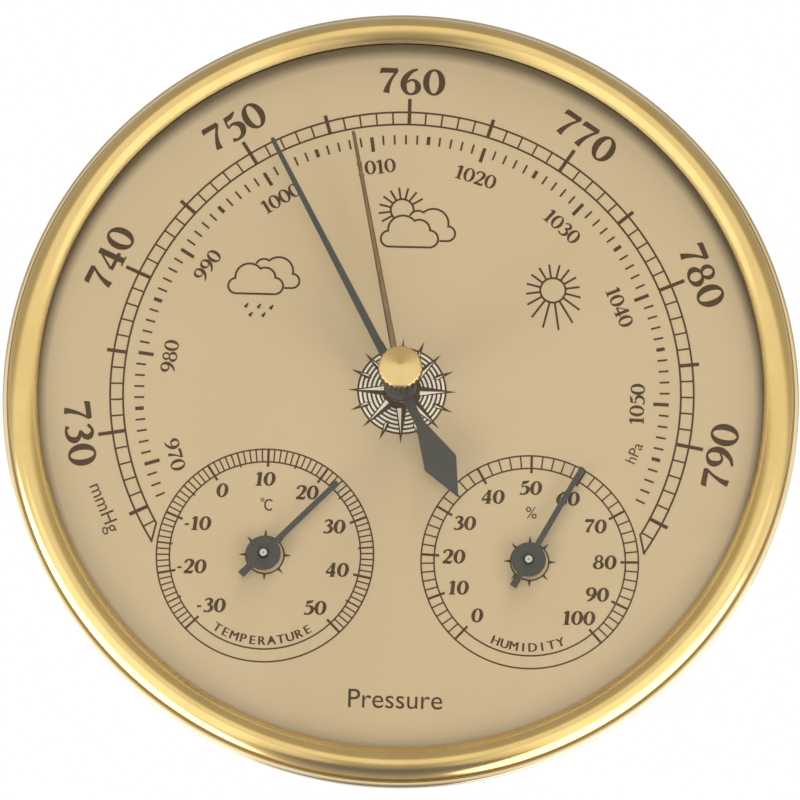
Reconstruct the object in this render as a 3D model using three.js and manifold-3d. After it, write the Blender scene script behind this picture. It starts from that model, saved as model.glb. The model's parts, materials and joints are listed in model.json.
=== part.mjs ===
// An analog wall weather station: an aneroid barometer, a bimetal thermometer and a strip hygrometer
// behind one round dial, in a moulded pot case with a gold bezel and a domed glass.
// Millimetres. The pieces are built in a bench frame: x to the right and y up on the dial, and z from the
// flat back of the case (z = 0) out towards the viewer. The exported group stands that frame upright.
import * as THREE from 'three';
import { mergeVertices } from 'three/addons/utils/BufferGeometryUtils.js';
import Module from 'manifold-3d';

const wasm = await Module();
wasm.setup();

const degree = Math.PI / 180;
const fullTurn = Math.PI * 2;

// Clearances
const seatGap = 0.06; // between faces that rest on each other
const fitGap = 0.06; // radial, in a pressed, screwed or running hole
const looseGap = 0.12; // end play of arbors, and round a piece that drops into place
const slipGap = 0.18; // radial, round a piece that slips over another or into a recess
const passGap = 0.5; // between pieces that pass each other freely
const overcut = 1; // how far a cutting shape runs past the faces that it cuts
const mergeDistance = 1e-4; // corners closer than this are one corner

// Facet counts
const ringFacets = 48;
const wheelFacets = 24;
const pinFacets = 12;
const domeSteps = 5; // from the middle of the glass to its edge
const crownSteps = 16; // over the bezel's round
const rimSteps = 4; // over the bezel's outer corner
const cornerSteps = 4; // round the back edge of the case
const flankSteps = 3; // up the side of a tooth
const coilStepsPerTurn = 16;
const pointsPerFlute = 4;

// Readings of the hands, in degrees clockwise from the top of their dials
const pressureAngle = -28.2;
const setHandAngle = -11.8;
const temperatureAngle = 44;
const humidityAngle = 28.6;
const pressureScaleEnd = 123.3; // the pressure scale runs this far to each side of the top

// Case
const caseWall = 1.8;
const caseCorner = 3;
const floorThickness = 2;
const bossRadius = 4;
const bossHeight = 2.2;
const rimLedge = 2; // case rim past the edge of the glass
const rimThickness = 1.2;
const dialLedge = 2.7; // width of the shelf under the dial's edge
const keyholeMargin = 1.5; // between the hanging hole and the boss below it
const keyholeRadius = 4.5;
const keyholeSlotWidth = 4.4;
const keyholeSlotReach = 8.5;
const ventCount = 3; // slots behind each small dial
const ventWidth = 2.4;
const ventLength = 13;
const ventPitch = 5;
const ventDrop = 7.5; // middle of the slots, below the small dial's centre

// Dial, glass and bezel
const dialThickness = 0.8;
const openingRadius = 58.5; // what the bezel leaves open
const dialPlay = 0.3; // round the dial's edge
const centreHolePlay = 0.7; // round the pointer's arbor, in the dial
const smallDialX = 21.12;
const smallDialY = -27.55;
const glassThickness = 1;
const handClearance = 0.46; // between the glass and the tips of the long hands
const glassOverlap = 2.05; // glass edge held behind the bezel's lip
const glassDrop = 0.6; // glass edge, behind the dial's face
const sealThickness = 0.5;
const sealWidth = 1.6;
const skirtWall = 1.57; // bezel wall round the case's rim
const bezelRimHeight = 1.7;
const bezelRimWidth = 0.75;
const rimRound = 0.55; // outer corner of the bezel's rim
const grooveWidth = 0.2; // between the rim and the bezel's round
const grooveDepth = 0.15;
const lipThickness = 0.3;
const crownRise = 1.45; // top of the bezel's round, in front of its lip

// Aneroid movement
const basePlateThickness = 1;
const pillarMargin = 1.3; // base plate past the outer pillar
const baseScrewMargin = 4.5; // base plate past the middle of its screws
const capsuleRadius = 18.5;
const capsuleThickness = 4.6;
const capsuleRipple = 0.5; // depth of the pressed rings in the capsule's skins
const capsuleRings = 3;
const capsuleFootRadius = 4;
const capsuleFootHeight = 0.6;
const capsuleCapRadius = 2.4;
const capsuleCapHeight = 0.5;
const postRadius = 1.1;
const postTipRadius = 0.4;
const postHeight = 1.6;
const postPlay = 0.1; // between the post's tip and the arm that rides on it
const rockerOffset = -3; // rocking shaft, above the capsule's centre
const rockerRadius = 0.8;
const rockerPivotRadius = 0.5;
const collarRadius = 1.5;
const collarLength = 2.8;
const armThickness = 0.8;
const armWidth = 2;
const crankRadius = 0.5;
const bracketGap = 1; // between the capsule's edge and each bracket
const bracketThickness = 1;
const bracketWidth = 8;
const bracketFoot = 5;
const plateThickness = 0.8; // lower cock and top bridge
const plateHalfWidth = 4.5;
const pillarRadius = 2.2;
const pillarNeckRadius = 1.5;
const sectorPillarGap = 6.5; // from the sector's pivot out to its pillar
const movementAngle = 135; // direction of the sector's pivot from the pointer's axis, anticlockwise from +x

// Gears
const gearModule = 0.3;
const pinionTeeth = 10;
const sectorWheelTeeth = 140; // teeth of the whole wheel that the sector is cut from
const pressureFaceAngle = 20;
const pinionAddendum = 1; // in modules
const sectorAddendum = 0.55;
const rootClearance = 0.25;
const backlash = 0.05;
const spareTeeth = 2; // sector teeth past each end of the scale
const sectorThickness = 0.8;
const sectorRimWidth = 1.8;
const sectorHubRadius = 2;
const sectorSpokeWidth = 1.5;
const pinionOverhang = 0.6; // pinion past each face of the sector
const tailLength = 2.8;
const tailRadius = 1.1;
const crankPinRadius = 0.5;
const linkThickness = 0.6;
const linkWidth = 1.2;
const linkEyeWall = 0.23;
const linkLooseGap = 0.42; // radial, in the link's open eye round the crank
const linkLift = 1.6; // link above the lower cock

// Arbors, springs and hands
const arborRadius = 0.9;
const arborPivotRadius = 0.5;
const pointerStemRadius = 0.8;
const hairspringTurns = 4;
const hairspringStrip = 0.25;
const hairspringWidth = 0.5;
const hairspringRadius = 6;
const springColletRadius = 1.5;
const studRadius = 0.5;
const handThickness = 0.35;
const pressureHandHeight = 3; // underside of the hand, in front of the dial's face
const pressureHandReach = 46.7;
const pressureHubRadius = 2.6;
const pressureTipWidth = 0.7;
const pressureRootWidth = 1.4;
const tailReach = 20.5;
const diamondPlace = 14.2;
const diamondWidth = 5.6;
const tailNeckWidth = 1.5;
const tailNeckReach = 7; // straight part of the tail, before its diamond
const handColletRadius = 1.5;
const handColletHeight = 1;
const setHandGap = 1.05; // between the two long hands
const setHandReach = 43.1;
const setHandHubRadius = 2;
const setHandRootWidth = 1.15;
const setHandTipWidth = 0.55;
const smallHandHeight = 1.3;
const smallHandHubRadius = 2.75;
const smallHandRootWidth = 0.95;
const smallHandTipWidth = 0.85;
const smallHandTail = 5;
const smallHandTailWidth = 1.2;
const temperatureHandReach = 16.5;
const humidityHandReach = 17.4;
const rivetHeight = 0.35; // end of an arbor proud of its hand

// Setting knob
const knobRadius = 3.5;
const knobHeight = 4.2;
const knobFlutes = 26;
const knobFluteDepth = 0.22;
const knobChamfer = 0.35;
const knobConeRise = 0.6; // point of the knob's face, in front of its edge
const spindleRadius = 1.2;
const spindleDepthInKnob = 2.6;
const spindleSleeveRadius = 2.7; // spindle between the set hand and the glass
const spindleFootRadius = 1;
const bushWall = 0.8;
const bushFlange = 0.4;
const bushFlangeRadius = 3;
const frictionWasher = 0.5;

// Thermometer and hygrometer movements
const frameThickness = 0.8;
const frameWidth = 8;
const frameTab = 4; // frame past the arbor, on the side away from its web
const stripWidth = 3.6;
const coilPlay = 0.67; // between a coil and the end of the movement's bridge
const coilColletRadius = 1.6;
const bimetalTurns = 4;
const bimetalStrip = 0.5;
const humidityTurns = 3;
const humidityStrip = 0.7;
const eyeletWall = 0.8;
const eyeletFlange = 0.4;
const eyeletFlangeRadius = 2.4;

// Screws
const caseScrewHeadRadius = 2.8;
const caseScrewHead = 1.1;
const caseScrewRadius = 1.3;
const caseScrewRecess = 0.2; // head below the back of the case
const smallScrewHeadRadius = 1.7;
const smallScrewHead = 0.9;
const smallScrewRadius = 0.9;
const smallScrewDepth = 2.4;
const slotWidth = 0.5;
const slotShare = 0.5; // depth of a driver slot as a share of the head
const adjusterPlace = -22; // adjusting screw, above the case's centre
const adjusterHeadRadius = 2.6;
const adjusterHead = 1.5;
const adjusterRadius = 1.5;

// Gear sizes
const toothAngle = fullTurn / sectorWheelTeeth;
const pinionPitch = (gearModule * pinionTeeth) / 2;
const sectorPitch = (gearModule * sectorWheelTeeth) / 2;
const gearCentres = pinionPitch + sectorPitch;
const gearRatio = sectorWheelTeeth / pinionTeeth;

// Plan of the movement: the pillars stand on one line through the pointer's axis and the sector's pivot
const movementDirection = new THREE.Vector2(1, 0).rotateAround(new THREE.Vector2(), movementAngle * degree);
const sectorPillarCircle = gearCentres + sectorPillarGap;
const freePillarCircle = capsuleRadius + passGap + pillarRadius;
const sectorPivot = movementDirection.clone().multiplyScalar(gearCentres);
const sectorPillar = movementDirection.clone().multiplyScalar(sectorPillarCircle);
const freePillar = movementDirection.clone().multiplyScalar(-freePillarCircle);
const crankX = sectorPivot.x + tailLength;
const linkEyeRadius = crankRadius + linkLooseGap + linkEyeWall;
const bracketInside = capsuleRadius + bracketGap;
const bracketScrewX = bracketInside + bracketThickness + bracketFoot / 2;
const basePlateRadius = sectorPillarCircle + pillarRadius + pillarMargin;
const baseScrewCircle = basePlateRadius - baseScrewMargin;
const keyholeHeight = baseScrewCircle + bossRadius + keyholeMargin + keyholeRadius;
const coilReach = Math.hypot(smallDialX - freePillar.x, smallDialY - freePillar.y);
const coilRadius = coilReach - plateHalfWidth - coilPlay;

// Heights above the back of the case, from the floor up to the glass
const baseLow = floorThickness + bossHeight + seatGap;
const baseTop = baseLow + basePlateThickness;
const capsuleLow = baseTop + seatGap;
const capsuleSkinLow = capsuleLow + capsuleFootHeight;
const capsuleSkinTop = capsuleSkinLow + capsuleThickness;
const capsuleTop = capsuleSkinTop + capsuleCapHeight;
const postLow = capsuleTop + seatGap;
const postTop = postLow + postHeight;
const rockerHeight = postTop + postPlay + armThickness / 2;
const cockLow = rockerHeight + collarRadius + passGap;
const cockTop = cockLow + plateThickness;
const linkLow = cockTop + linkLift;
const linkTop = linkLow + linkThickness;
const sectorLow = linkTop + passGap;
const sectorTop = sectorLow + sectorThickness;
const pinionLow = sectorLow - pinionOverhang;
const pinionTop = sectorTop + pinionOverhang;
const hairspringLow = pinionTop + passGap;
const hairspringTop = hairspringLow + hairspringWidth;
const bridgeLow = hairspringTop + passGap;
const bridgeTop = bridgeLow + plateThickness;
const bridgeScrewTop = bridgeTop + seatGap + smallScrewHead;
const dialBack = bridgeScrewTop + passGap;
const dialFace = dialBack + dialThickness;
const pressureHandLow = dialFace + pressureHandHeight;
const pressureHandTop = pressureHandLow + handThickness;
const setHandLow = pressureHandTop + setHandGap;
const setHandTop = setHandLow + handThickness;

// Radii of the glass, the bezel and the case, from the bezel's opening outwards
const glassRadius = openingRadius + glassOverlap;
const glassPocket = glassRadius + looseGap;
const rimRadius = glassRadius + rimLedge;
const skirtInside = rimRadius + slipGap;
const bezelRadius = skirtInside + skirtWall;
const crownOutside = bezelRadius - bezelRimWidth - grooveWidth;
const shelfRadius = glassRadius - sealWidth;
const dialRadius = shelfRadius - dialPlay;
const caseInside = dialRadius - dialLedge;
const caseRadius = caseInside + caseWall;

// Glass dome: part of a sphere through the glass's edge, high enough to clear the tips of both long hands
const glassEdgeLow = dialFace - glassDrop;
function centreThrough(reach, height) {
  const squares = reach ** 2 + height ** 2 - glassRadius ** 2 - glassEdgeLow ** 2;
  return squares / (2 * (height - glassEdgeLow));
}
const domeCentre = Math.max(
  centreThrough(setHandReach, setHandTop + handClearance),
  centreThrough(pressureHandReach, pressureHandTop + handClearance),
);
const domeRadius = Math.hypot(glassRadius, glassEdgeLow - domeCentre);
const domeInside = (radius) => domeCentre + Math.sqrt(domeRadius ** 2 - radius ** 2);
const domeOutside = (radius) => domeCentre + Math.sqrt((domeRadius + glassThickness) ** 2 - radius ** 2);

// Heights of the case's rim: a shelf for the dial and, outside it, a seat for the glass and its seal
const dialShelf = dialBack - seatGap;
const sealLow = glassEdgeLow - seatGap - sealThickness;
const glassSeat = sealLow - seatGap;
const rimBack = glassSeat - rimThickness;

// Bores that several pieces share
const eyeletBore = pointerStemRadius + fitGap;
const bushBore = spindleRadius + fitGap;

// Solids from three.js geometry

function solid(geometry) {
  const bare = geometry.index ? geometry.toNonIndexed() : geometry.clone();
  bare.deleteAttribute('normal');
  bare.deleteAttribute('uv');
  const merged = mergeVertices(bare, mergeDistance);
  const corners = merged.attributes.position;
  const triangles = [];
  let volume = 0;
  const [a, b, c] = [new THREE.Vector3(), new THREE.Vector3(), new THREE.Vector3()];
  for (let i = 0; i < merged.index.count; i += 3) {
    const [p, q, r] = [0, 1, 2].map((k) => merged.index.getX(i + k));
    if (p === q || q === r || r === p) continue;
    triangles.push([p, q, r]);
    a.fromBufferAttribute(corners, p);
    b.fromBufferAttribute(corners, q);
    c.fromBufferAttribute(corners, r);
    volume += a.dot(b.cross(c));
  }
  const outward = volume > 0 ? triangles : triangles.map(([p, q, r]) => [p, r, q]);
  const mesh = new wasm.Mesh({
    numProp: 3,
    vertProperties: new Float32Array(corners.array),
    triVerts: new Uint32Array(outward.flat()),
  });
  return new wasm.Manifold(mesh);
}

function joined(...geometries) {
  return geometries.map(solid).reduce((whole, piece) => whole.add(piece));
}

function cut(body, ...tools) {
  const start = body instanceof THREE.BufferGeometry ? solid(body) : body;
  return tools.map(solid).reduce((rest, tool) => rest.subtract(tool), start);
}

function geometryOf(body) {
  const mesh = body.getMesh();
  const geometry = new THREE.BufferGeometry();
  geometry.setAttribute('position', new THREE.BufferAttribute(new Float32Array(mesh.vertProperties), 3));
  geometry.setIndex(new THREE.BufferAttribute(new Uint32Array(mesh.triVerts), 1));
  geometry.computeVertexNormals();
  return geometry;
}

// A profile of [radius, z] points turned about the z axis
function revolve(profile, facets) {
  const points = profile.map(([radius, z]) => new THREE.Vector2(radius, z));
  return new THREE.LatheGeometry(points, facets).rotateX(Math.PI / 2);
}

function ring(inside, outside, low, high, facets) {
  return revolve([[inside, low], [outside, low], [outside, high], [inside, high], [inside, low]], facets);
}

function rod(radius, low, high, facets = pinFacets) {
  const geometry = new THREE.CylinderGeometry(radius, radius, high - low, facets);
  return geometry.rotateX(Math.PI / 2).translate(0, 0, (low + high) / 2);
}

function crossRod(radius, left, right) {
  const geometry = new THREE.CylinderGeometry(radius, radius, right - left, pinFacets);
  return geometry.rotateZ(Math.PI / 2).translate((left + right) / 2, 0, 0);
}

function block(width, height, low, high) {
  return new THREE.BoxGeometry(width, height, high - low).translate(0, 0, (low + high) / 2);
}

function plate(shape, low, thickness) {
  const options = { depth: thickness, bevelEnabled: false, curveSegments: pinFacets / 2 };
  return new THREE.ExtrudeGeometry(shape, options).translate(0, 0, low);
}

function circle(x, y, radius, facets) {
  return Array.from({ length: facets }, (_, i) => {
    const angle = (fullTurn * i) / facets;
    return new THREE.Vector2(x + radius * Math.cos(angle), y + radius * Math.sin(angle));
  });
}

function disc(radius, facets = wheelFacets) {
  return new THREE.Shape(circle(0, 0, radius, facets));
}

function hole(x, y, radius) {
  return new THREE.Path(circle(x, y, radius, pinFacets).toReversed());
}

// A bar with round ends from one point to another
function roundBar(from, to, halfWidth) {
  const direction = Math.atan2(to.y - from.y, to.x - from.x);
  const quarter = Math.PI / 2;
  const shape = new THREE.Shape();
  shape.absarc(to.x, to.y, halfWidth, direction - quarter, direction + quarter);
  shape.absarc(from.x, from.y, halfWidth, direction + quarter, direction + quarter * 3);
  shape.closePath();
  return shape;
}

function polygon(points) {
  return new THREE.Shape(points.map(([x, y]) => new THREE.Vector2(x, y)));
}

// Finishes and the scene graph

const finishes = {
  gold: { color: 0xd8b266, roughness: 0.28, metalness: 1 },
  brass: { color: 0xc9a45c, roughness: 0.3, metalness: 1 },
  steel: { color: 0xb4b6b8, roughness: 0.35, metalness: 1 },
  copper: { color: 0xb47a52, roughness: 0.4, metalness: 1 },
  moulding: { color: 0x1d1d1f, roughness: 0.55, metalness: 0 },
  rubber: { color: 0x262626, roughness: 0.8, metalness: 0 },
  nylon: { color: 0x2c2c2e, roughness: 0.5, metalness: 0 },
  glass: { color: 0xf4f7f6, roughness: 0.03, metalness: 0 },
  champagne: { color: 0xcbb690, roughness: 0.45, metalness: 0.4 },
  black: { color: 0x3a3c3a, roughness: 0.5, metalness: 0 },
  strip: { color: 0xd9cfa9, roughness: 0.6, metalness: 0 },
};

const station = new THREE.Group();
station.rotation.x = Math.PI / 2;

function add(name, shape, finish, group = station) {
  const geometry = shape instanceof THREE.BufferGeometry ? geometryOf(solid(shape)) : geometryOf(shape);
  const mesh = new THREE.Mesh(geometry, new THREE.MeshStandardMaterial(finishes[finish]));
  mesh.name = name;
  group.add(mesh);
}

function groupAt(x, y, clockwise = 0) {
  const group = new THREE.Group();
  group.position.set(x, y, 0);
  group.rotation.z = -clockwise * degree;
  station.add(group);
  return group;
}

// Screws: a slotted head on a plain shank, with the head's underside at the seat

function screw(headRadius, headHeight, shankRadius, depth) {
  const profile = [[0, -depth], [shankRadius, -depth], [shankRadius, 0], [headRadius, 0]];
  profile.push([headRadius, headHeight], [0, headHeight]);
  const slotLength = (headRadius + overcut) * 2;
  const slot = block(slotLength, slotWidth, headHeight * (1 - slotShare), headHeight + overcut);
  return { body: revolve(profile, pinFacets), slot };
}

function screwUp(headRadius, headHeight, shankRadius, depth, seat) {
  const { body, slot } = screw(headRadius, headHeight, shankRadius, depth);
  return cut(body.translate(0, 0, seat), slot.translate(0, 0, seat));
}

// The same screw driven from the back, with its head's underside facing the front
function screwFromBack(headRadius, headHeight, shankRadius, depth, seat) {
  const { body, slot } = screw(headRadius, headHeight, shankRadius, depth);
  return cut(body.rotateX(Math.PI).translate(0, 0, seat), slot.rotateX(Math.PI).translate(0, 0, seat));
}

// Case

const baseScrewAngles = [90, 210, 330];
const baseScrewPlaces = baseScrewAngles.map((angle) => new THREE.Vector2(
  baseScrewCircle * Math.cos(angle * degree),
  baseScrewCircle * Math.sin(angle * degree),
));
const caseScrewSeat = caseScrewRecess + caseScrewHead + seatGap;

function potProfile() {
  const corner = new THREE.Path();
  corner.absarc(caseRadius - caseCorner, caseCorner, caseCorner, -Math.PI / 2, 0);
  const rounded = corner.getPoints(cornerSteps).map((point) => [point.x, point.y]);
  return [
    [0, 0], ...rounded,
    [caseRadius, rimBack], [rimRadius, rimBack], [rimRadius, glassSeat],
    [shelfRadius, glassSeat], [shelfRadius, dialShelf],
    [caseInside, dialShelf], [caseInside, floorThickness], [0, floorThickness],
  ];
}

function keyhole() {
  const slotEnd = new THREE.Vector2(0, keyholeHeight + keyholeSlotReach - keyholeSlotWidth / 2);
  const slot = roundBar(new THREE.Vector2(0, keyholeHeight), slotEnd, keyholeSlotWidth / 2);
  const round = rod(keyholeRadius, -overcut, floorThickness + overcut, wheelFacets);
  return [plate(slot, -overcut, floorThickness + overcut * 2), round.translate(0, keyholeHeight, 0)];
}

function vents() {
  const slots = [];
  const low = new THREE.Vector2(0, -(ventLength - ventWidth) / 2);
  const shape = roundBar(low, low.clone().negate(), ventWidth / 2);
  for (const side of [-1, 1]) {
    for (let i = 0; i < ventCount; i += 1) {
      const x = side * smallDialX + (i - (ventCount - 1) / 2) * ventPitch;
      const slot = plate(shape, -overcut, floorThickness + overcut * 2);
      slots.push(slot.translate(x, smallDialY - ventDrop, 0));
    }
  }
  return slots;
}

function rearCase() {
  const bosses = baseScrewPlaces.map(({ x, y }) => (
    rod(bossRadius, floorThickness / 2, floorThickness + bossHeight).translate(x, y, 0)));
  const shell = joined(revolve(potProfile(), ringFacets), ...bosses);
  const screwHoles = baseScrewPlaces.flatMap(({ x, y }) => [
    rod(caseScrewHeadRadius + slipGap, -overcut, caseScrewSeat).translate(x, y, 0),
    rod(caseScrewRadius + looseGap, -overcut, baseLow + overcut).translate(x, y, 0),
  ]);
  const adjusterHole = rod(adjusterHeadRadius + slipGap, -overcut, floorThickness + overcut);
  adjusterHole.translate(0, adjusterPlace, 0);
  return cut(shell, ...screwHoles, adjusterHole, ...keyhole(), ...vents());
}

add('rear_case', rearCase(), 'moulding');

// Dial, glass, seal and bezel

function dialPlate() {
  const shape = disc(dialRadius, ringFacets);
  const eyeletHole = eyeletBore + eyeletWall + fitGap;
  shape.holes.push(hole(0, 0, pointerStemRadius + centreHolePlay));
  for (const side of [-1, 1]) {
    shape.holes.push(hole(side * smallDialX, smallDialY, eyeletHole));
  }
  return plate(shape, dialBack, dialThickness);
}

function glassProfile() {
  const bore = bushBore + bushWall + fitGap;
  const step = (glassRadius - bore) / domeSteps;
  const radii = Array.from({ length: domeSteps + 1 }, (_, i) => bore + step * i);
  const inside = radii.map((radius) => [radius, domeInside(radius)]);
  const outside = radii.toReversed().map((radius) => [radius, domeOutside(radius)]);
  return [...inside, ...outside, inside[0]];
}

// The bezel's section: a rounded rim at the back, a groove, a half-round and a lip that holds the glass
function bezelProfile() {
  const lipLow = (radius) => domeOutside(radius) + looseGap;
  const lipTop = lipLow(openingRadius) + lipThickness;
  const rimTop = rimBack + bezelRimHeight;
  const grooveSide = crownOutside + grooveWidth;
  const grooveFloor = rimTop - grooveDepth;
  const crownTop = lipTop + crownRise;
  const crownMiddle = (crownOutside + openingRadius) / 2;
  const crownHalf = (crownOutside - openingRadius) / 2;
  const rim = [];
  for (let i = 0; i <= rimSteps; i += 1) {
    const angle = (Math.PI / 2) * (i / rimSteps);
    rim.push([bezelRadius - rimRound * (1 - Math.cos(angle)), rimTop - rimRound * (1 - Math.sin(angle))]);
  }
  const crown = [];
  for (let i = 0; i <= crownSteps; i += 1) {
    const angle = (Math.PI * i) / crownSteps;
    const foot = i < crownSteps / 2 ? grooveFloor : lipTop;
    crown.push([crownMiddle + crownHalf * Math.cos(angle), foot + (crownTop - foot) * Math.sin(angle)]);
  }
  const section = [
    [skirtInside, rimBack], [bezelRadius, rimBack], ...rim,
    [grooveSide, rimTop], [grooveSide, grooveFloor], ...crown,
    [openingRadius, lipLow(openingRadius)],
    [glassPocket, lipLow(glassPocket)], [glassPocket, glassSeat + seatGap],
    [skirtInside, glassSeat + seatGap],
  ];
  return [...section, section[0]];
}

add('dial_plate', dialPlate(), 'champagne');
const sealTop = sealLow + sealThickness;
add('lens_seal', ring(shelfRadius + looseGap, glassRadius, sealLow, sealTop, ringFacets), 'rubber');
add('lens', revolve(glassProfile(), ringFacets), 'glass');
add('bezel', revolve(bezelProfile(), ringFacets), 'gold');

// Movement base, its screws and the adjusting screw

function movementBase() {
  const shape = disc(basePlateRadius);
  for (const { x, y } of baseScrewPlaces) shape.holes.push(hole(x, y, caseScrewRadius + fitGap));
  shape.holes.push(hole(0, adjusterPlace, adjusterRadius + fitGap));
  for (const side of [-1, 1]) {
    shape.holes.push(hole(side * bracketScrewX, rockerOffset, smallScrewRadius + fitGap));
  }
  return plate(shape, baseLow, basePlateThickness);
}

add('movement_base', movementBase(), 'steel');

baseScrewPlaces.forEach(({ x, y }, i) => {
  const seat = caseScrewSeat - seatGap;
  const body = screwFromBack(caseScrewHeadRadius, caseScrewHead, caseScrewRadius, baseTop - seat, seat);
  add(`movement_screw_${i + 1}`, body, 'steel', groupAt(x, y));
});

const adjusterSeat = caseScrewRecess + adjusterHead;
const adjusterDepth = baseTop - adjusterSeat;
const adjuster = screwFromBack(adjusterHeadRadius, adjusterHead, adjusterRadius, adjusterDepth, adjusterSeat);
add('adjusting_screw', adjuster, 'brass', groupAt(0, adjusterPlace));

// Aneroid capsule with pressed rings in both skins, and the post on its middle

function capsuleProfile() {
  const rings = [];
  const start = capsuleFootRadius + passGap;
  const span = capsuleRadius - passGap - start;
  const steps = capsuleRings * 2;
  for (let i = 0; i <= steps; i += 1) {
    rings.push([start + (span * i) / steps, i % 2 === 0 ? 0 : capsuleRipple]);
  }
  const lower = rings.map(([radius, dip]) => [radius, capsuleSkinLow + dip]);
  const upper = rings.toReversed().map(([radius, dip]) => [radius, capsuleSkinTop - dip]);
  const middle = (capsuleSkinLow + capsuleSkinTop) / 2;
  return [
    [0, capsuleLow], [capsuleFootRadius, capsuleLow], [capsuleFootRadius, capsuleSkinLow],
    ...lower,
    [capsuleRadius, middle - capsuleRipple], [capsuleRadius, middle + capsuleRipple],
    ...upper,
    [capsuleCapRadius, capsuleSkinTop], [capsuleCapRadius, capsuleTop], [0, capsuleTop],
  ];
}

const postProfile = [
  [0, postLow], [postRadius, postLow], [postRadius, postTop - postRadius + postTipRadius],
  [postTipRadius, postTop], [0, postTop],
];
add('aneroid_capsule', revolve(capsuleProfile(), wheelFacets), 'brass');
add('capsule_post', revolve(postProfile, pinFacets), 'steel');

// Rocking shaft in its two brackets, with the arm that rides on the post and the crank that pulls the link

function rockerBracket() {
  const low = baseTop + seatGap;
  const high = rockerHeight + collarRadius;
  const foot = new THREE.BoxGeometry(bracketThickness + bracketFoot, bracketWidth, bracketThickness);
  foot.translate(bracketInside + (bracketThickness + bracketFoot) / 2, 0, low + bracketThickness / 2);
  const wall = block(bracketThickness, bracketWidth, low, high);
  wall.translate(bracketInside + bracketThickness / 2, 0, 0);
  const bearing = crossRod(rockerPivotRadius + fitGap, 0, bracketInside + bracketThickness + overcut);
  bearing.translate(0, 0, rockerHeight);
  const screwHole = rod(smallScrewRadius + fitGap, baseLow, high).translate(bracketScrewX, 0, 0);
  return cut(joined(foot, wall), bearing, screwHole);
}

function rockerShaft() {
  const half = bracketInside - looseGap;
  const pivot = bracketInside + bracketThickness;
  const profile = [
    [0, -pivot], [rockerPivotRadius, -pivot], [rockerPivotRadius, -half], [rockerRadius, -half],
    [rockerRadius, half], [rockerPivotRadius, half], [rockerPivotRadius, pivot], [0, pivot],
  ];
  return revolve(profile, pinFacets).rotateY(Math.PI / 2).translate(0, 0, rockerHeight);
}

function collar() {
  return crossRod(collarRadius, -collarLength / 2, collarLength / 2).translate(0, 0, rockerHeight);
}

function collarBore() {
  const half = collarLength / 2 + overcut;
  return crossRod(rockerRadius + fitGap, -half, half).translate(0, 0, rockerHeight);
}

function capsuleArm() {
  const reach = -rockerOffset + postRadius;
  const bar = block(armWidth, reach, rockerHeight - armThickness / 2, rockerHeight + armThickness / 2);
  return cut(joined(collar(), bar.translate(0, reach / 2, 0)), collarBore());
}

function crank() {
  const stem = rod(crankRadius, rockerHeight + rockerRadius, linkTop + passGap);
  return cut(joined(collar(), stem), collarBore());
}

const rocker = groupAt(0, rockerOffset);
const crankGroup = groupAt(crankX, rockerOffset);
const leftBracket = groupAt(0, rockerOffset, 180);
add('pivot_bracket_left', rockerBracket(), 'steel', leftBracket);
add('pivot_bracket_right', rockerBracket(), 'steel', rocker);
for (const [label, side] of [['left', -1], ['right', 1]]) {
  const seat = baseTop + seatGap + bracketThickness + seatGap;
  const depth = bracketThickness + basePlateThickness;
  const body = screwUp(smallScrewHeadRadius, smallScrewHead, smallScrewRadius, depth, seat);
  add(`bracket_screw_${label}`, body, 'steel', groupAt(side * bracketScrewX, rockerOffset));
}
add('rocking_shaft', rockerShaft(), 'steel', rocker);
add('capsule_arm', capsuleArm(), 'brass', rocker);
add('link_crank', crank(), 'brass', crankGroup);

// Lower cock and top bridge on two shouldered pillars

function movementPlate(low, pillarHole, extraHoles) {
  const shape = roundBar(freePillar, sectorPillar, plateHalfWidth);
  for (const { x, y } of [sectorPillar, freePillar]) shape.holes.push(hole(x, y, pillarHole));
  shape.holes.push(hole(sectorPivot.x, sectorPivot.y, arborPivotRadius + fitGap));
  shape.holes.push(...extraHoles);
  return plate(shape, low, plateThickness);
}

const pillarProfile = [
  [0, baseTop + seatGap], [pillarRadius, baseTop + seatGap], [pillarRadius, cockLow - seatGap],
  [pillarNeckRadius, cockLow - seatGap], [pillarNeckRadius, bridgeLow - seatGap],
  [smallScrewRadius + fitGap, bridgeLow - seatGap],
  [smallScrewRadius + fitGap, bridgeLow - smallScrewDepth], [0, bridgeLow - smallScrewDepth],
];
const studCircle = hairspringRadius + hairspringStrip + studRadius;
const studPlace = movementDirection.clone().multiplyScalar(-studCircle);
const cockHoles = [hole(0, 0, arborPivotRadius + fitGap)];
const bridgeHoles = [
  hole(0, 0, pointerStemRadius + fitGap),
  hole(studPlace.x, studPlace.y, studRadius + fitGap),
];
add('lower_cock', movementPlate(cockLow, pillarNeckRadius + fitGap, cockHoles), 'brass');
add('top_bridge', movementPlate(bridgeLow, smallScrewRadius + fitGap, bridgeHoles), 'brass');
[sectorPillar, freePillar].forEach(({ x, y }, i) => {
  const group = groupAt(x, y);
  const depth = plateThickness + smallScrewDepth - passGap;
  const seat = bridgeTop + seatGap;
  const bridgeScrew = screwUp(smallScrewHeadRadius, smallScrewHead, smallScrewRadius, depth, seat);
  add(`pillar_${i + 1}`, revolve(pillarProfile, pinFacets), 'brass', group);
  add(`bridge_screw_${i + 1}`, bridgeScrew, 'steel', group);
});

// Toothed sector and pinion: involute flanks, the sector's teeth short so that they clear the small pinion

function toothHalfAngle(radius, pitchRadius) {
  const involute = (angle) => Math.tan(angle) - angle;
  const base = pitchRadius * Math.cos(pressureFaceAngle * degree);
  const halfThickness = (Math.PI * gearModule) / 4 - backlash / 2;
  const local = radius > base ? Math.acos(base / radius) : 0;
  return halfThickness / pitchRadius + involute(pressureFaceAngle * degree) - involute(local);
}

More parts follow.
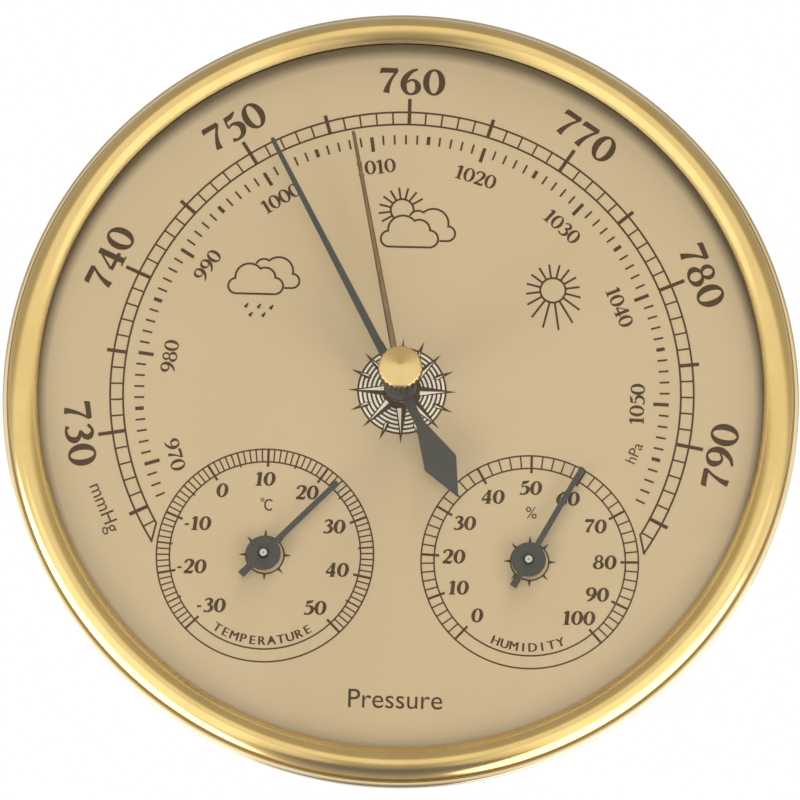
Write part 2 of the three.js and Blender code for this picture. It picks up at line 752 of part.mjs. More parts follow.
// Outline of one tooth whose middle is at the given angle, from its root round its tip to its root
function tooth(middle, pitchRadius, addendum, dedendum) {
  const tip = pitchRadius + addendum * gearModule;
  const root = pitchRadius - dedendum * gearModule;
  const base = pitchRadius * Math.cos(pressureFaceAngle * degree);
  const start = Math.max(base, root);
  const radii = Array.from({ length: flankSteps + 1 }, (_, i) => start + ((tip - start) * i) / flankSteps);
  if (root < start) radii.unshift(root);
  const flank = radii.map((radius) => [radius, toothHalfAngle(radius, pitchRadius)]);
  const rising = flank.map(([radius, half]) => [radius, middle - half]);
  const falling = flank.toReversed().map(([radius, half]) => [radius, middle + half]);
  const outline = [...rising, ...falling];
  return outline.map(([radius, angle]) => [radius * Math.cos(angle), radius * Math.sin(angle)]);
}

function pinion() {
  const points = [];
  for (let i = 0; i < pinionTeeth; i += 1) {
    const middle = movementAngle * degree + (fullTurn * i) / pinionTeeth;
    points.push(...tooth(middle, pinionPitch, pinionAddendum, sectorAddendum + rootClearance));
  }
  const shape = polygon(points);
  shape.holes.push(hole(0, 0, arborRadius + fitGap));
  return plate(shape, pinionLow, pinionTop - pinionLow);
}

// The sector stands at its own pivot, with +x towards the pinion and a tooth space on that line
function sectorTeeth() {
  const clockwiseTravel = (pressureScaleEnd - pressureAngle) / gearRatio;
  const backTravel = (pressureScaleEnd + pressureAngle) / gearRatio;
  const before = Math.ceil((clockwiseTravel * degree) / toothAngle) + spareTeeth;
  const after = Math.ceil((backTravel * degree) / toothAngle) + spareTeeth;
  const dedendum = pinionAddendum + rootClearance;
  const points = [];
  for (let i = -before; i < after; i += 1) {
    points.push(...tooth((i + 0.5) * toothAngle, sectorPitch, sectorAddendum, dedendum));
  }
  const inside = sectorPitch - dedendum * gearModule - sectorRimWidth;
  const steps = before + after;
  for (let i = 0; i <= steps; i += 1) {
    const angle = (after - i) * toothAngle;
    points.push([inside * Math.cos(angle), inside * Math.sin(angle)]);
  }
  return { rim: polygon(points), ends: [-before * toothAngle, after * toothAngle] };
}

function sectorGear() {
  const { rim, ends } = sectorTeeth();
  const hub = new THREE.Vector2(0, 0);
  const spokeReach = sectorPitch - sectorRimWidth;
  const spokes = ends.map((angle) => {
    const inward = angle - Math.sign(angle) * Math.asin(sectorSpokeWidth / 2 / spokeReach);
    const end = new THREE.Vector2(spokeReach * Math.cos(inward), spokeReach * Math.sin(inward));
    return plate(roundBar(hub, end, sectorSpokeWidth / 2), sectorLow, sectorThickness);
  });
  const tail = roundBar(hub, tailPlace, tailRadius);
  const body = joined(
    plate(rim, sectorLow, sectorThickness), ...spokes,
    plate(disc(sectorHubRadius), sectorLow, sectorThickness),
    plate(tail, sectorLow, sectorThickness),
  );
  const arborHole = rod(arborRadius + fitGap, sectorLow - overcut, sectorTop + overcut);
  const pinHole = rod(crankPinRadius + fitGap, sectorLow - overcut, sectorTop + overcut);
  return cut(body, arborHole, pinHole.translate(tailPlace.x, tailPlace.y, 0));
}

function pivotedArbor(radius, low, high) {
  const shoulderLow = low + plateThickness + looseGap;
  const shoulderHigh = high - plateThickness - looseGap;
  return revolve([
    [0, low], [arborPivotRadius, low], [arborPivotRadius, shoulderLow], [radius, shoulderLow],
    [radius, shoulderHigh], [arborPivotRadius, shoulderHigh], [arborPivotRadius, high], [0, high],
  ], pinFacets);
}

function sectorLink() {
  const length = sectorPivot.y - rockerOffset;
  const far = new THREE.Vector2(0, -length);
  const bar = roundBar(new THREE.Vector2(0, 0), far, linkWidth / 2);
  const eyes = [0, -length].map((y) => plate(disc(linkEyeRadius), linkLow, linkThickness).translate(0, y, 0));
  const closeHole = rod(crankPinRadius + fitGap, linkLow - overcut, linkTop + overcut);
  const openHole = rod(crankRadius + linkLooseGap, linkLow - overcut, linkTop + overcut);
  openHole.translate(0, -length, 0);
  return cut(joined(plate(bar, linkLow, linkThickness), ...eyes), closeHole, openHole);
}

const sectorTurn = movementAngle + 180;
const sectorGroup = groupAt(sectorPivot.x, sectorPivot.y, -sectorTurn);
const tailPlace = new THREE.Vector2(tailLength, 0).rotateAround(new THREE.Vector2(), -sectorTurn * degree);
add('sector_gear', sectorGear(), 'brass', sectorGroup);
add('sector_arbor', pivotedArbor(arborRadius, cockLow, bridgeTop), 'steel', sectorGroup);
const tailGroup = groupAt(sectorPivot.x + tailLength, sectorPivot.y);
add('sector_crank_pin', rod(crankPinRadius, linkLow - looseGap, sectorTop), 'steel', tailGroup);
add('sector_link', sectorLink(), 'steel', tailGroup);

// Pointer arbor with its pinion, hairspring collet and hairspring

function pointerArbor() {
  const shoulderLow = cockTop + looseGap;
  const shoulderHigh = bridgeLow - looseGap;
  return revolve([
    [0, cockLow], [arborPivotRadius, cockLow], [arborPivotRadius, shoulderLow], [arborRadius, shoulderLow],
    [arborRadius, shoulderHigh], [pointerStemRadius, shoulderHigh],
    [pointerStemRadius, pressureHandTop + rivetHeight], [0, pressureHandTop + rivetHeight],
  ], pinFacets);
}

// A flat strip wound from the inner to the outer radius, ending at the given angle
function spiral({ inner, outer, turns, strip, endAngle }) {
  const steps = Math.round(turns * coilStepsPerTurn);
  const middle = Array.from({ length: steps + 1 }, (_, i) => {
    const angle = endAngle - fullTurn * turns * (1 - i / steps);
    return { angle, radius: inner + strip / 2 + ((outer - inner - strip) * i) / steps };
  });
  const edge = (side) => middle.map(({ angle, radius }) => [
    (radius + (side * strip) / 2) * Math.cos(angle),
    (radius + (side * strip) / 2) * Math.sin(angle),
  ]);
  return { outline: polygon([...edge(1), ...edge(-1).toReversed()]), edge };
}

// Least distance from the outer edge of each turn to the inner edge of the turn round it
function leastGap(wound) {
  const outer = wound.edge(1);
  const inner = wound.edge(-1);
  let least = Infinity;
  outer.forEach(([x, y], i) => {
    inner.slice(i + coilStepsPerTurn / 2).forEach(([u, v]) => {
      least = Math.min(least, Math.hypot(u - x, v - y));
    });
  });
  return least;
}

function wind(spring) {
  const wound = spiral(spring);
  console.log(`${spring.name}: least gap between turns ${leastGap(wound).toFixed(2)} mm`);
  return plate(wound.outline, spring.low, spring.width);
}

const studAngle = (movementAngle + 180) * degree;
add('pointer_arbor', pointerArbor(), 'steel');
add('pinion', pinion(), 'brass');
const springCollet = ring(arborRadius + fitGap, springColletRadius, hairspringLow, hairspringTop, pinFacets);
add('hairspring_collet', springCollet, 'brass');
const hairspring = wind({
  name: 'hairspring',
  inner: springColletRadius + fitGap,
  outer: hairspringRadius,
  turns: hairspringTurns,
  strip: hairspringStrip,
  endAngle: studAngle,
  low: hairspringLow,
  width: hairspringWidth,
});
add('hairspring', hairspring, 'copper');
add('hairspring_stud', rod(studRadius, hairspringLow, bridgeTop), 'brass', groupAt(studPlace.x, studPlace.y));

// Hands: flat blades that point up the dial before they are turned to their reading

function pressureHand() {
  const root = pressureRootWidth / 2;
  const tip = pressureTipWidth / 2;
  const blade = polygon([
    [-root, 0], [root, 0], [tip, pressureHandReach - tip], [0, pressureHandReach],
    [-tip, pressureHandReach - tip],
  ]);
  const neck = tailNeckWidth / 2;
  const side = diamondWidth / 2;
  const tail = polygon([
    [neck, 0], [-neck, 0], [-neck, -tailNeckReach], [-side, -diamondPlace],
    [0, -tailReach], [side, -diamondPlace], [neck, -tailNeckReach],
  ]);
  const flat = (shape) => plate(shape, pressureHandLow, handThickness);
  const stemHole = rod(pointerStemRadius + fitGap, pressureHandLow - overcut, pressureHandTop + overcut);
  return cut(joined(flat(blade), flat(tail), flat(disc(pressureHubRadius))), stemHole);
}

function setHand() {
  const root = setHandRootWidth / 2;
  const tip = setHandTipWidth / 2;
  const blade = polygon([[-root, 0], [root, 0], [tip, setHandReach], [-tip, setHandReach]]);
  const flat = (shape) => plate(shape, setHandLow, handThickness);
  const footHole = rod(spindleFootRadius + fitGap, setHandLow - overcut, setHandTop + overcut);
  return cut(joined(flat(blade), flat(disc(setHandHubRadius))), footHole);
}

function smallHand(reach) {
  const low = dialFace + smallHandHeight;
  const root = smallHandRootWidth / 2;
  const tip = smallHandTipWidth / 2;
  const end = smallHandTailWidth / 2;
  const blade = polygon([[-root, 0], [root, 0], [tip, reach], [-tip, reach]]);
  const tail = polygon([[root, 0], [-root, 0], [-end, -smallHandTail], [end, -smallHandTail]]);
  const flat = (shape) => plate(shape, low, handThickness);
  const body = joined(flat(blade), flat(tail), flat(disc(smallHandHubRadius)));
  return cut(body, rod(pointerStemRadius + fitGap, low - overcut, low + handThickness + overcut));
}

const colletTop = pressureHandLow - seatGap;
const colletLow = colletTop - handColletHeight;
const handCollet = ring(pointerStemRadius + fitGap, handColletRadius, colletLow, colletTop, pinFacets);
add('pressure_hand_collet', handCollet, 'brass');
add('pressure_hand', pressureHand(), 'black', groupAt(0, 0, pressureAngle));

// Setting knob on top of the glass, its spindle through the glass and the set hand below

const glassTop = domeOutside(0);
const bushFlangeLow = glassTop + seatGap;
const knobLow = bushFlangeLow + bushFlange + seatGap;
const knobTop = knobLow + knobHeight;
const washerTop = domeInside(spindleSleeveRadius) - seatGap;
const washerLow = washerTop - frictionWasher;
const shoulderTop = washerLow - seatGap;

function settingKnob() {
  const count = knobFlutes * pointsPerFlute;
  const outline = Array.from({ length: count }, (_, i) => {
    const angle = (fullTurn * i) / count;
    const radius = knobRadius - (knobFluteDepth * (1 - Math.cos(knobFlutes * angle))) / 2;
    return [radius * Math.cos(angle), radius * Math.sin(angle)];
  });
  const blank = plate(polygon(outline), knobLow, knobHeight + overcut);
  const edge = knobRadius - knobChamfer;
  const edgeTop = knobTop - knobConeRise;
  const outside = knobRadius + overcut;
  const cutTop = knobTop + 2 * overcut;
  const aboveFace = revolve([
    [0, knobTop], [edge, edgeTop], [outside, edgeTop - (outside - edge)], [outside, cutTop], [0, cutTop],
  ], wheelFacets);
  const bore = rod(spindleRadius + fitGap, knobLow - overcut, knobLow + spindleDepthInKnob + fitGap);
  return cut(blank, aboveFace, bore);
}

function settingSpindle() {
  return revolve([
    [0, setHandLow], [spindleFootRadius, setHandLow], [spindleFootRadius, setHandTop + seatGap],
    [spindleSleeveRadius, setHandTop + seatGap], [spindleSleeveRadius, shoulderTop],
    [spindleRadius, shoulderTop], [spindleRadius, knobLow + spindleDepthInKnob],
    [0, knobLow + spindleDepthInKnob],
  ], wheelFacets);
}

function lensBush() {
  const tube = bushBore + bushWall;
  const low = domeInside(tube) + fitGap;
  return revolve([
    [bushBore, low], [tube, low], [tube, bushFlangeLow], [bushFlangeRadius, bushFlangeLow],
    [bushFlangeRadius, bushFlangeLow + bushFlange], [bushBore, bushFlangeLow + bushFlange], [bushBore, low],
  ], pinFacets);
}

add('setting_knob', settingKnob(), 'brass');
add('lens_bush', lensBush(), 'nylon');
add('friction_washer', ring(bushBore, spindleSleeveRadius, washerLow, washerTop, wheelFacets), 'steel');
add('setting_spindle', settingSpindle(), 'nylon');
add('set_hand', setHand(), 'brass', groupAt(0, 0, setHandAngle));

// Thermometer and hygrometer: a bent frame on the dial's back, held by an eyelet, with a wound strip whose
// outer end is fixed to the frame and whose inner end turns the arbor

const frameTop = dialBack - seatGap;
const frameInsideTop = frameTop - frameThickness;
const stripTop = frameInsideTop - passGap;
const stripLow = stripTop - stripWidth;
const frameInsideLow = stripLow - passGap;
const frameLow = frameInsideLow - frameThickness;

function coilFrame() {
  const web = coilRadius + seatGap;
  const section = polygon([
    [-frameTab, frameTop], [-frameTab, frameInsideTop], [web, frameInsideTop], [web, frameInsideLow],
    [-frameTab, frameInsideLow], [-frameTab, frameLow], [web + frameThickness, frameLow],
    [web + frameThickness, frameTop],
  ]);
  const body = plate(section, -frameWidth / 2, frameWidth).rotateX(Math.PI / 2);
  const eyeletHole = rod(eyeletBore + eyeletWall + fitGap, frameInsideTop - overcut, frameTop + overcut);
  const pivotHole = rod(arborPivotRadius + fitGap, frameLow - overcut, frameInsideLow + overcut);
  return cut(body, eyeletHole, pivotHole);
}

function eyelet() {
  const outside = eyeletBore + eyeletWall;
  const flangeLow = dialFace + seatGap;
  return revolve([
    [eyeletBore, frameInsideTop], [outside, frameInsideTop], [outside, flangeLow],
    [eyeletFlangeRadius, flangeLow], [eyeletFlangeRadius, flangeLow + eyeletFlange],
    [eyeletBore, flangeLow + eyeletFlange], [eyeletBore, frameInsideTop],
  ], pinFacets);
}

function coilArbor() {
  const top = dialFace + smallHandHeight + handThickness + rivetHeight;
  return revolve([
    [0, frameLow], [arborPivotRadius, frameLow], [arborPivotRadius, frameInsideLow + looseGap],
    [coilColletRadius, frameInsideLow + looseGap], [coilColletRadius, stripTop],
    [pointerStemRadius, stripTop], [pointerStemRadius, top], [0, top],
  ], pinFacets);
}

function smallDial({ name, x, webAngle, handAngle, handReach, turns, strip, finish }) {
  const unit = groupAt(x, smallDialY, -webAngle);
  const coil = wind({
    name: `${name}_coil`,
    inner: coilColletRadius + fitGap,
    outer: coilRadius,
    turns,
    strip,
    endAngle: 0,
    low: stripLow,
    width: stripWidth,
  });
  add(`${name}_frame`, coilFrame(), 'steel', unit);
  add(`${name}_eyelet`, eyelet(), 'brass', unit);
  add(`${name}_coil`, coil, finish, unit);
  const hand = groupAt(x, smallDialY, handAngle);
  const hubLow = dialFace + seatGap + eyeletFlange + seatGap;
  const hubTop = dialFace + smallHandHeight - seatGap;
  add(`${name}_arbor`, coilArbor(), 'brass', hand);
  add(`${name}_hand_collet`, ring(eyeletBore, eyeletFlangeRadius, hubLow, hubTop, pinFacets), 'black', hand);
  add(`${name}_hand`, smallHand(handReach), 'black', hand);
}

smallDial({
  name: 'thermometer',
  x: -smallDialX,
  webAngle: 180,
  handAngle: temperatureAngle,
  handReach: temperatureHandReach,
  turns: bimetalTurns,
  strip: bimetalStrip,
  finish: 'copper',
});
smallDial({
  name: 'hygrometer',
  x: smallDialX,
  webAngle: 0,
  handAngle: humidityAngle,
  handReach: humidityHandReach,
  turns: humidityTurns,
  strip: humidityStrip,
  finish: 'strip',
});

export default station;
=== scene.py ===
"""Looks of an analog weather station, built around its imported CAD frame.

Sizes are millimetres on the dial: u to the right, v up and w out of the dial's face towards the viewer.
at() turns them into the frame's metres. Readings are degrees clockwise from the top of a dial.
"""

import json
import math

import bmesh
import bpy
from mathutils import Matrix, Vector
from mathutils.geometry import delaunay_2d_cdt


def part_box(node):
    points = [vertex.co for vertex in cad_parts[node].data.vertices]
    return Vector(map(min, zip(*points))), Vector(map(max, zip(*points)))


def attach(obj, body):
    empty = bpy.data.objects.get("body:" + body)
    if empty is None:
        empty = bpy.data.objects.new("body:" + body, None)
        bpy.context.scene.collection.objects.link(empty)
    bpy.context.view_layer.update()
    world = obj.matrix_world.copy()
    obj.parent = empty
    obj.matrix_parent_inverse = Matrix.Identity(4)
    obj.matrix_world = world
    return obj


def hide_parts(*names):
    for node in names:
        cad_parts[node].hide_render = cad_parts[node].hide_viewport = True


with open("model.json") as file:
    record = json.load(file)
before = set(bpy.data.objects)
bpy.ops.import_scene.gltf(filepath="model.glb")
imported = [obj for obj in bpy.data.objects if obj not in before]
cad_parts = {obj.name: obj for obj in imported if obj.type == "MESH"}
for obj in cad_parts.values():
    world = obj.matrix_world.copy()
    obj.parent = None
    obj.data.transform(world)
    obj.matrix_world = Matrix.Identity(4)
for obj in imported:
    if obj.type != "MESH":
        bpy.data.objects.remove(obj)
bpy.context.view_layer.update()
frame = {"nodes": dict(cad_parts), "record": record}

MM = 0.001
TURN = math.tau
DIAL_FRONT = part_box("dial_plate")[0].y
CLOSE = 1e-5  # corners nearer than this are one corner

# Fineness
RIM_FACETS = 288
PIN_FACETS = 64
CLOUD_FACETS = 40
SUN_FACETS = 48
ROSE_FACETS = 120
OVAL_FACETS = 32
CROWN_STEPS = 24
DOME_STEPS = 48
CORNER_STEPS = 10
FILLET_STEPS = 5
FILLET_SHARE = 0.45  # of a side, at most, that one rounded corner takes
CURVE_STEPS = 6  # pieces of a pen stroke between two of its points
SCALE_STEP = 1.5  # degrees of a printed ring in one piece
SMALL_RING_STEP = 3
TINY_RING_STEP = 6
SHARP_ANGLE = 32  # edges that bend more than this stay sharp

# Camera, from the fit of the dial's circles and marks
CAMERA_PLACE = Vector((0.00705, -0.70806, -0.17246))
CAMERA_FORWARD = Vector((-0.0101, 0.9701, 0.2427))
CAMERA_UP = Vector((-0.0251, -0.2429, 0.9697))
CAMERA_LENS = 196.69
CAMERA_SENSOR = 36
CAMERA_NEAR = 0.01

# Readings of the hands
PRESSURE_READING = -28.2
SET_READING = -11.8
TEMPERATURE_READING = 44
HUMIDITY_READING = 28.6

# Glass, bezel and dial
LOOSE_GAP = 0.12
SEAT_GAP = 0.06
OPENING_RADIUS = 58.5
LIP_OVERLAP = 2.05
GLASS_RADIUS = OPENING_RADIUS + LIP_OVERLAP
GLASS_THICKNESS = 1
GLASS_BORE = 2.12
HAND_CLEARANCE = 0.46  # between the glass and the tips of the long hands
CASE_RIM = 2
RIM_RADIUS = GLASS_RADIUS + CASE_RIM
SKIRT_GAP = 0.18
SKIRT_WALL = 1.57
SKIRT_INSIDE = RIM_RADIUS + SKIRT_GAP
BEZEL_RADIUS = SKIRT_INSIDE + SKIRT_WALL
BEZEL_RIM_HEIGHT = 1.7
BEZEL_RIM_WIDTH = 0.75
RIM_ROUND = 0.55
GROOVE_WIDTH = 0.2
GROOVE_DEPTH = 0.15
BEZEL_EDGE = 0.12  # rounding of the bezel's other corners
CROWN_OUTSIDE = BEZEL_RADIUS - BEZEL_RIM_WIDTH - GROOVE_WIDTH
LIP_THICKNESS = 0.3
INNER_ROUND_END = 130  # degrees round from its outer side, where the half-round meets the lip
PAINTED_EDGE_SHADE_WIDTH = 0.45  # width of the painted shade along the bezel's inner edge
SHELF_WIDTH = 1.6
SHELF_RADIUS = GLASS_RADIUS - SHELF_WIDTH
DIAL_GAP = 0.3
DIAL_RADIUS = SHELF_RADIUS - DIAL_GAP
EDGE_SHADOW_CENTRE = (0, -1)  # the painted shadow at the dial's edge is wider at the top
EDGE_SHADOW_START = 56.9
EDGE_SHADOW_END = 58.6
DIAL_CENTRE_HOLE = 1.5
DIAL_EYELET_HOLE = 1.72
SMALL_DIALS = ("thermometer", "hygrometer")

# Case
DIAL_LEDGE = 2.7
CASE_WALL = 1.8
CASE_INSIDE = DIAL_RADIUS - DIAL_LEDGE
CASE_RADIUS = CASE_INSIDE + CASE_WALL
CASE_CORNER = 3
CASE_EDGE = 0.12
CASE_FLOOR = 2
SHELF_DROP = 0.06  # below the back of the dial
GLASS_SEAT_DROP = 0.62  # glass and seal, behind the edge of the glass
BOSS_RADIUS = 4
BOSS_HEIGHT = 2.2
KEYHOLE_HEIGHT = 38
KEYHOLE_RADIUS = 4.5
KEYHOLE_SLOT_WIDTH = 4.4
KEYHOLE_SLOT_REACH = 8.5
VENT_COUNT = 3
VENT_WIDTH = 2.4
VENT_LENGTH = 13
VENT_PITCH = 5
VENT_DROP = 7.5
OVERCUT = 1

# Screws in the back
SCREW_NODES = ("movement_screw_1", "movement_screw_2", "movement_screw_3")
SCREW_HEAD_RADIUS = 2.8
SCREW_HEAD_HEIGHT = 1.1
SCREW_SHANK_RADIUS = 1.3
ADJUSTER_HEAD_RADIUS = 2.6
ADJUSTER_HEAD_HEIGHT = 1.5
ADJUSTER_SHANK_RADIUS = 1.5
SCREW_SLOT_WIDTH = 0.5
SCREW_EDGE = 0.25
HEAD_GAP = 0.18
SCREW_RECESS_RADIUS = SCREW_HEAD_RADIUS + HEAD_GAP
SCREW_RECESS_DEPTH = 1.36
SCREW_HOLE_RADIUS = SCREW_SHANK_RADIUS + LOOSE_GAP
ADJUSTER_HOLE_RADIUS = ADJUSTER_HEAD_RADIUS + HEAD_GAP

# Hands
PRESSURE_REACH = 46.7
PRESSURE_HUB = 2.6
PRESSURE_TIP_WIDTH = 0.7
PRESSURE_ROOT_WIDTH = 1.4
TAIL_REACH = 20.5
DIAMOND_PLACE = 14.2
DIAMOND_WIDTH = 5.6
TAIL_NECK_WIDTH = 1.5
TAIL_NECK_REACH = 7
SET_REACH = 43.1
SET_HUB = 2
SET_ROOT_WIDTH = 1.15
SET_TIP_WIDTH = 0.55
SET_BEVEL = 0.2  # of the blade's long edges, seen from above
SMALL_HUB = 2.75
SMALL_ROOT_WIDTH = 0.95
SMALL_TIP_WIDTH = 0.85
SMALL_TAIL = 5
SMALL_TAIL_WIDTH = 1.2
TEMPERATURE_REACH = 16.5
HUMIDITY_REACH = 17.4
STEM_HOLE = 0.86
SET_HOLE = 1.06
HAND_EDGE = 0.1
SMALL_HAND_EDGE = 0.08

# Knob, spindle and small turned pieces
KNOB_RADIUS = 3.5
KNOB_FLUTES = 26
KNOB_FLUTE_DEPTH = 0.22
KNOB_CHAMFER = 0.35
KNOB_CONE_RISE = 0.6
KNOB_FACE_RINGS = 8
KNOB_BRIGHT = 0.75  # bright edge of the knob; painted shade darkens the side below it
KNOB_BORE = 1.26
KNOB_BORE_DEPTH = 2.66
POINTS_PER_FLUTE = 10
SPINDLE_FOOT = 1
SPINDLE_RADIUS = 1.2
SLEEVE_RADIUS = 2.7
BUSH_RADIUS = 2.06
BUSH_FLANGE_RADIUS = 3
COLLET_RADIUS = 1.5
SMALL_COLLET_RADIUS = 2.4
EYELET_RADIUS = 1.66
EYELET_FLANGE_RADIUS = 2.4
FLANGE_HEIGHT = 0.4
TURNED_EDGE = 0.08


# Places on the dial

def at(u, v, w):
    """A place on the dial in the frame's metres."""
    return Vector((u * MM, DIAL_FRONT - w * MM, v * MM))


def heights(node):
    """Back and front of a CAD node, in front of the dial's face."""
    low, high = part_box(node)
    return (DIAL_FRONT - high.y) / MM, (DIAL_FRONT - low.y) / MM


def centre(node):
    """Middle of a CAD node on the dial."""
    low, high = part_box(node)
    return (low.x + high.x) / 2 / MM, (low.z + high.z) / 2 / MM


def reading(radius, degrees):
    """Point on a dial at a reading."""
    angle = math.radians(degrees)
    return radius * math.sin(angle), radius * math.cos(angle)


# Flat regions: points with the triangles between them

def wound_left(polygon):
    """The polygon with its corners in anticlockwise order."""
    area = 0
    for (x, y), (next_x, next_y) in zip(polygon, polygon[1:] + polygon[:1]):
        area += x * next_y - next_x * y
    return polygon if area > 0 else polygon[::-1]


def region(inks, gaps=()):
    """What the ink polygons cover and none of the gaps does."""
    points = []
    loops = []
    for polygon in [*inks, *gaps]:
        loops.append(list(range(len(points), len(points) + len(polygon))))
        points.extend(Vector(corner) for corner in wound_left(list(polygon)))
    result = delaunay_2d_cdt(points, [], loops, 1, CLOSE)
    corners, triangles, sources = result[0], result[2], result[5]
    kept = [tuple(t) for t, source in zip(triangles, sources) if source and max(source) < len(inks)]
    return tidy_region([tuple(corner) for corner in corners], kept)


def tidy_region(points, triangles):
    """The same region without the points that no triangle uses."""
    used = sorted({index for triangle in triangles for index in triangle})
    place = {index: i for i, index in enumerate(used)}
    return [points[i] for i in used], [tuple(place[i] for i in triangle) for triangle in triangles]


def placed(flat, u=0, v=0, degrees=0, scale=1):
    """A region turned clockwise, scaled and moved."""
    points, triangles = flat
    cosine = math.cos(math.radians(degrees)) * scale
    sine = math.sin(math.radians(degrees)) * scale
    moved = [(u + x * cosine + y * sine, v + y * cosine - x * sine) for x, y in points]
    return moved, triangles


def together(regions):
    """Several regions as one."""
    points = []
    triangles = []
    for more_points, more_triangles in regions:
        start = len(points)
        points.extend(more_points)
        triangles.extend((a + start, b + start, c + start) for a, b, c in more_triangles)
    return points, triangles


def raised(flat, low, high):
    """Closed plate over a region: its vertices and faces."""
    points, triangles = flat
    count = len(points)
    vertices = [(x, y, low) for x, y in points] + [(x, y, high) for x, y in points]
    edges = {edge for a, b, c in triangles for edge in ((a, b), (b, c), (c, a))}
    faces = [(a + count, b + count, c + count) for a, b, c in triangles]
    faces += [(c, b, a) for a, b, c in triangles]
    faces += [(a, b, b + count, a + count) for a, b in edges if (b, a) not in edges]
    return vertices, faces


def circle(u, v, radius, corners=PIN_FACETS):
    return [(u + x, v + y) for x, y in (reading(radius, 360 * i / corners) for i in range(corners))]


def arc_band(inner, outer, first, last, step=SCALE_STEP):
    """Strips of a ring between two readings."""
    count = max(1, math.ceil((last - first) / step))
    stops = [first + (last - first) * i / count for i in range(count + 1)]
    return [
        [reading(inner, a), reading(outer, a), reading(outer, b), reading(inner, b)]
        for a, b in zip(stops, stops[1:])
    ]


def bar(start, end, width, end_width=None):
    """Straight line of ink between two points."""
    half = width / 2
    end_half = half if end_width is None else end_width / 2
    direction = (Vector(end) - Vector(start)).normalized()
    across = Vector((-direction.y, direction.x))
    return [
        tuple(Vector(start) + across * half), tuple(Vector(start) - across * half),
        tuple(Vector(end) - across * end_half), tuple(Vector(end) + across * end_half),
    ]


def ring(radius, line, step):
    """Strips of a whole ring of ink."""
    return arc_band(radius - line / 2, radius + line / 2, -180, 180, step)


def tick(size, degrees):
    """Line of ink along a radius; its size is (from, to, width)."""
    inner, outer, width = size
    return bar(reading(inner, degrees), reading(outer, degrees), width)


# Solids

def turned(outline, facets=RIM_FACETS, axis=(0, 0), looped=True):
    """An outline of (radius, w) points turned round an axis; either number may depend on the angle."""
    vertices = []
    rings = []
    for radius, w in outline:
        steps = 1 if radius == 0 else facets
        rings.append(range(len(vertices), len(vertices) + steps))
        for i in range(steps):
            angle = TURN * i / facets
            reach = radius(angle) if callable(radius) else radius
            height = w(angle) if callable(w) else w
            vertices.append((axis[0] + reach * math.sin(angle), axis[1] + reach * math.cos(angle), height))
    faces = []
    following = rings[1:] + rings[:1] if looped else rings[1:]
    for one, other in zip(rings, following):
        for i in range(facets):
            j = (i + 1) % facets
            corners = [one[i % len(one)], one[j % len(one)], other[j % len(other)], other[i % len(other)]]
            corners = list(dict.fromkeys(corners))
            if len(corners) > 2:
                faces.append(corners)
    return vertices, faces


def filleted(outline, radius, looped=True):
    """An outline with its sharp corners rounded."""
    count = len(outline)
    result = []
    for i, corner in enumerate(outline):
        if not looped and i in (0, count - 1):
            result.append(corner)
            continue
        here = Vector(corner)
        back = Vector(outline[i - 1]) - here
        ahead = Vector(outline[(i + 1) % count]) - here
        bend = math.pi - back.angle(ahead)
        if bend < math.radians(SHARP_ANGLE):
            result.append(corner)
            continue
        side = min(back.length, ahead.length)
        reach = min(radius * math.tan(bend / 2), side * FILLET_SHARE)
        start = here + back.normalized() * reach
        end = here + ahead.normalized() * reach
        for step in range(FILLET_STEPS + 1):
            t = step / FILLET_STEPS
            point = start * (1 - t) ** 2 + here * 2 * t * (1 - t) + end * t ** 2
            result.append(tuple(point))
    return result


def new_object(name, shape):
    """Object from vertices on the dial and faces, with its normals outwards."""
    vertices, faces = shape
    mesh = bpy.data.meshes.new(name)
    mesh.from_pydata([at(*vertex) for vertex in vertices], [], faces)
    work = bmesh.new()
    work.from_mesh(mesh)
    bmesh.ops.recalc_face_normals(work, faces=work.faces)
    work.to_mesh(mesh)
    work.free()
    piece = bpy.data.objects.new(name, mesh)
    bpy.context.scene.collection.objects.link(piece)
    return piece


def combine(piece, others, operation):
    """Cuts other shapes out of a piece, or joins them to it."""
    for other in others:
        modifier = piece.modifiers.new("combine", "BOOLEAN")
        modifier.operation = operation
        modifier.solver = "EXACT"
        modifier.object = other
    shown = piece.evaluated_get(bpy.context.evaluated_depsgraph_get())
    result = bpy.data.meshes.new_from_object(shown)
    piece.modifiers.clear()
    piece.data = result
    for other in others:
        bpy.data.objects.remove(other)


def dress(piece, material, body, nodes=()):
    """Gives a new piece its material, its body and the CAD nodes that it stands for."""
    piece.data.materials.clear()
    piece.data.materials.append(material)
    piece.data.shade_smooth()
    piece.data.set_sharp_from_angle(angle=math.radians(SHARP_ANGLE))
    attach(piece, body)
    if nodes:
        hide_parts(*nodes)


def soften(piece, width):
    """Rounds the sharp edges of a piece."""
    modifier = piece.modifiers.new("edges", "BEVEL")
    modifier.width = width * MM
    modifier.segments = 2
    modifier.limit_method = "ANGLE"
    modifier.angle_limit = math.radians(SHARP_ANGLE)
    modifier.harden_normals = True


# Materials

def connect(tree, value, socket):
    """Links another node's output to a socket, or sets the socket's own value."""
    if isinstance(value, bpy.types.NodeSocket):
        tree.links.new(value, socket)
    else:
        socket.default_value = value


def add_node(tree, kind, **inputs):
    """New shader node; inputs name its sockets with _ for a blank."""
    node = tree.nodes.new(f"ShaderNode{kind}")
    for name, value in inputs.items():
        connect(tree, value, node.inputs[name.replace("_", " ")])
    return node


def calculated(tree, kind, operation, *values):
    """New Math or VectorMath node on some values."""
    node = tree.nodes.new(f"ShaderNode{kind}")
    node.operation = operation
    for value, socket in zip(values, node.inputs):
        connect(tree, value, socket)
    return node


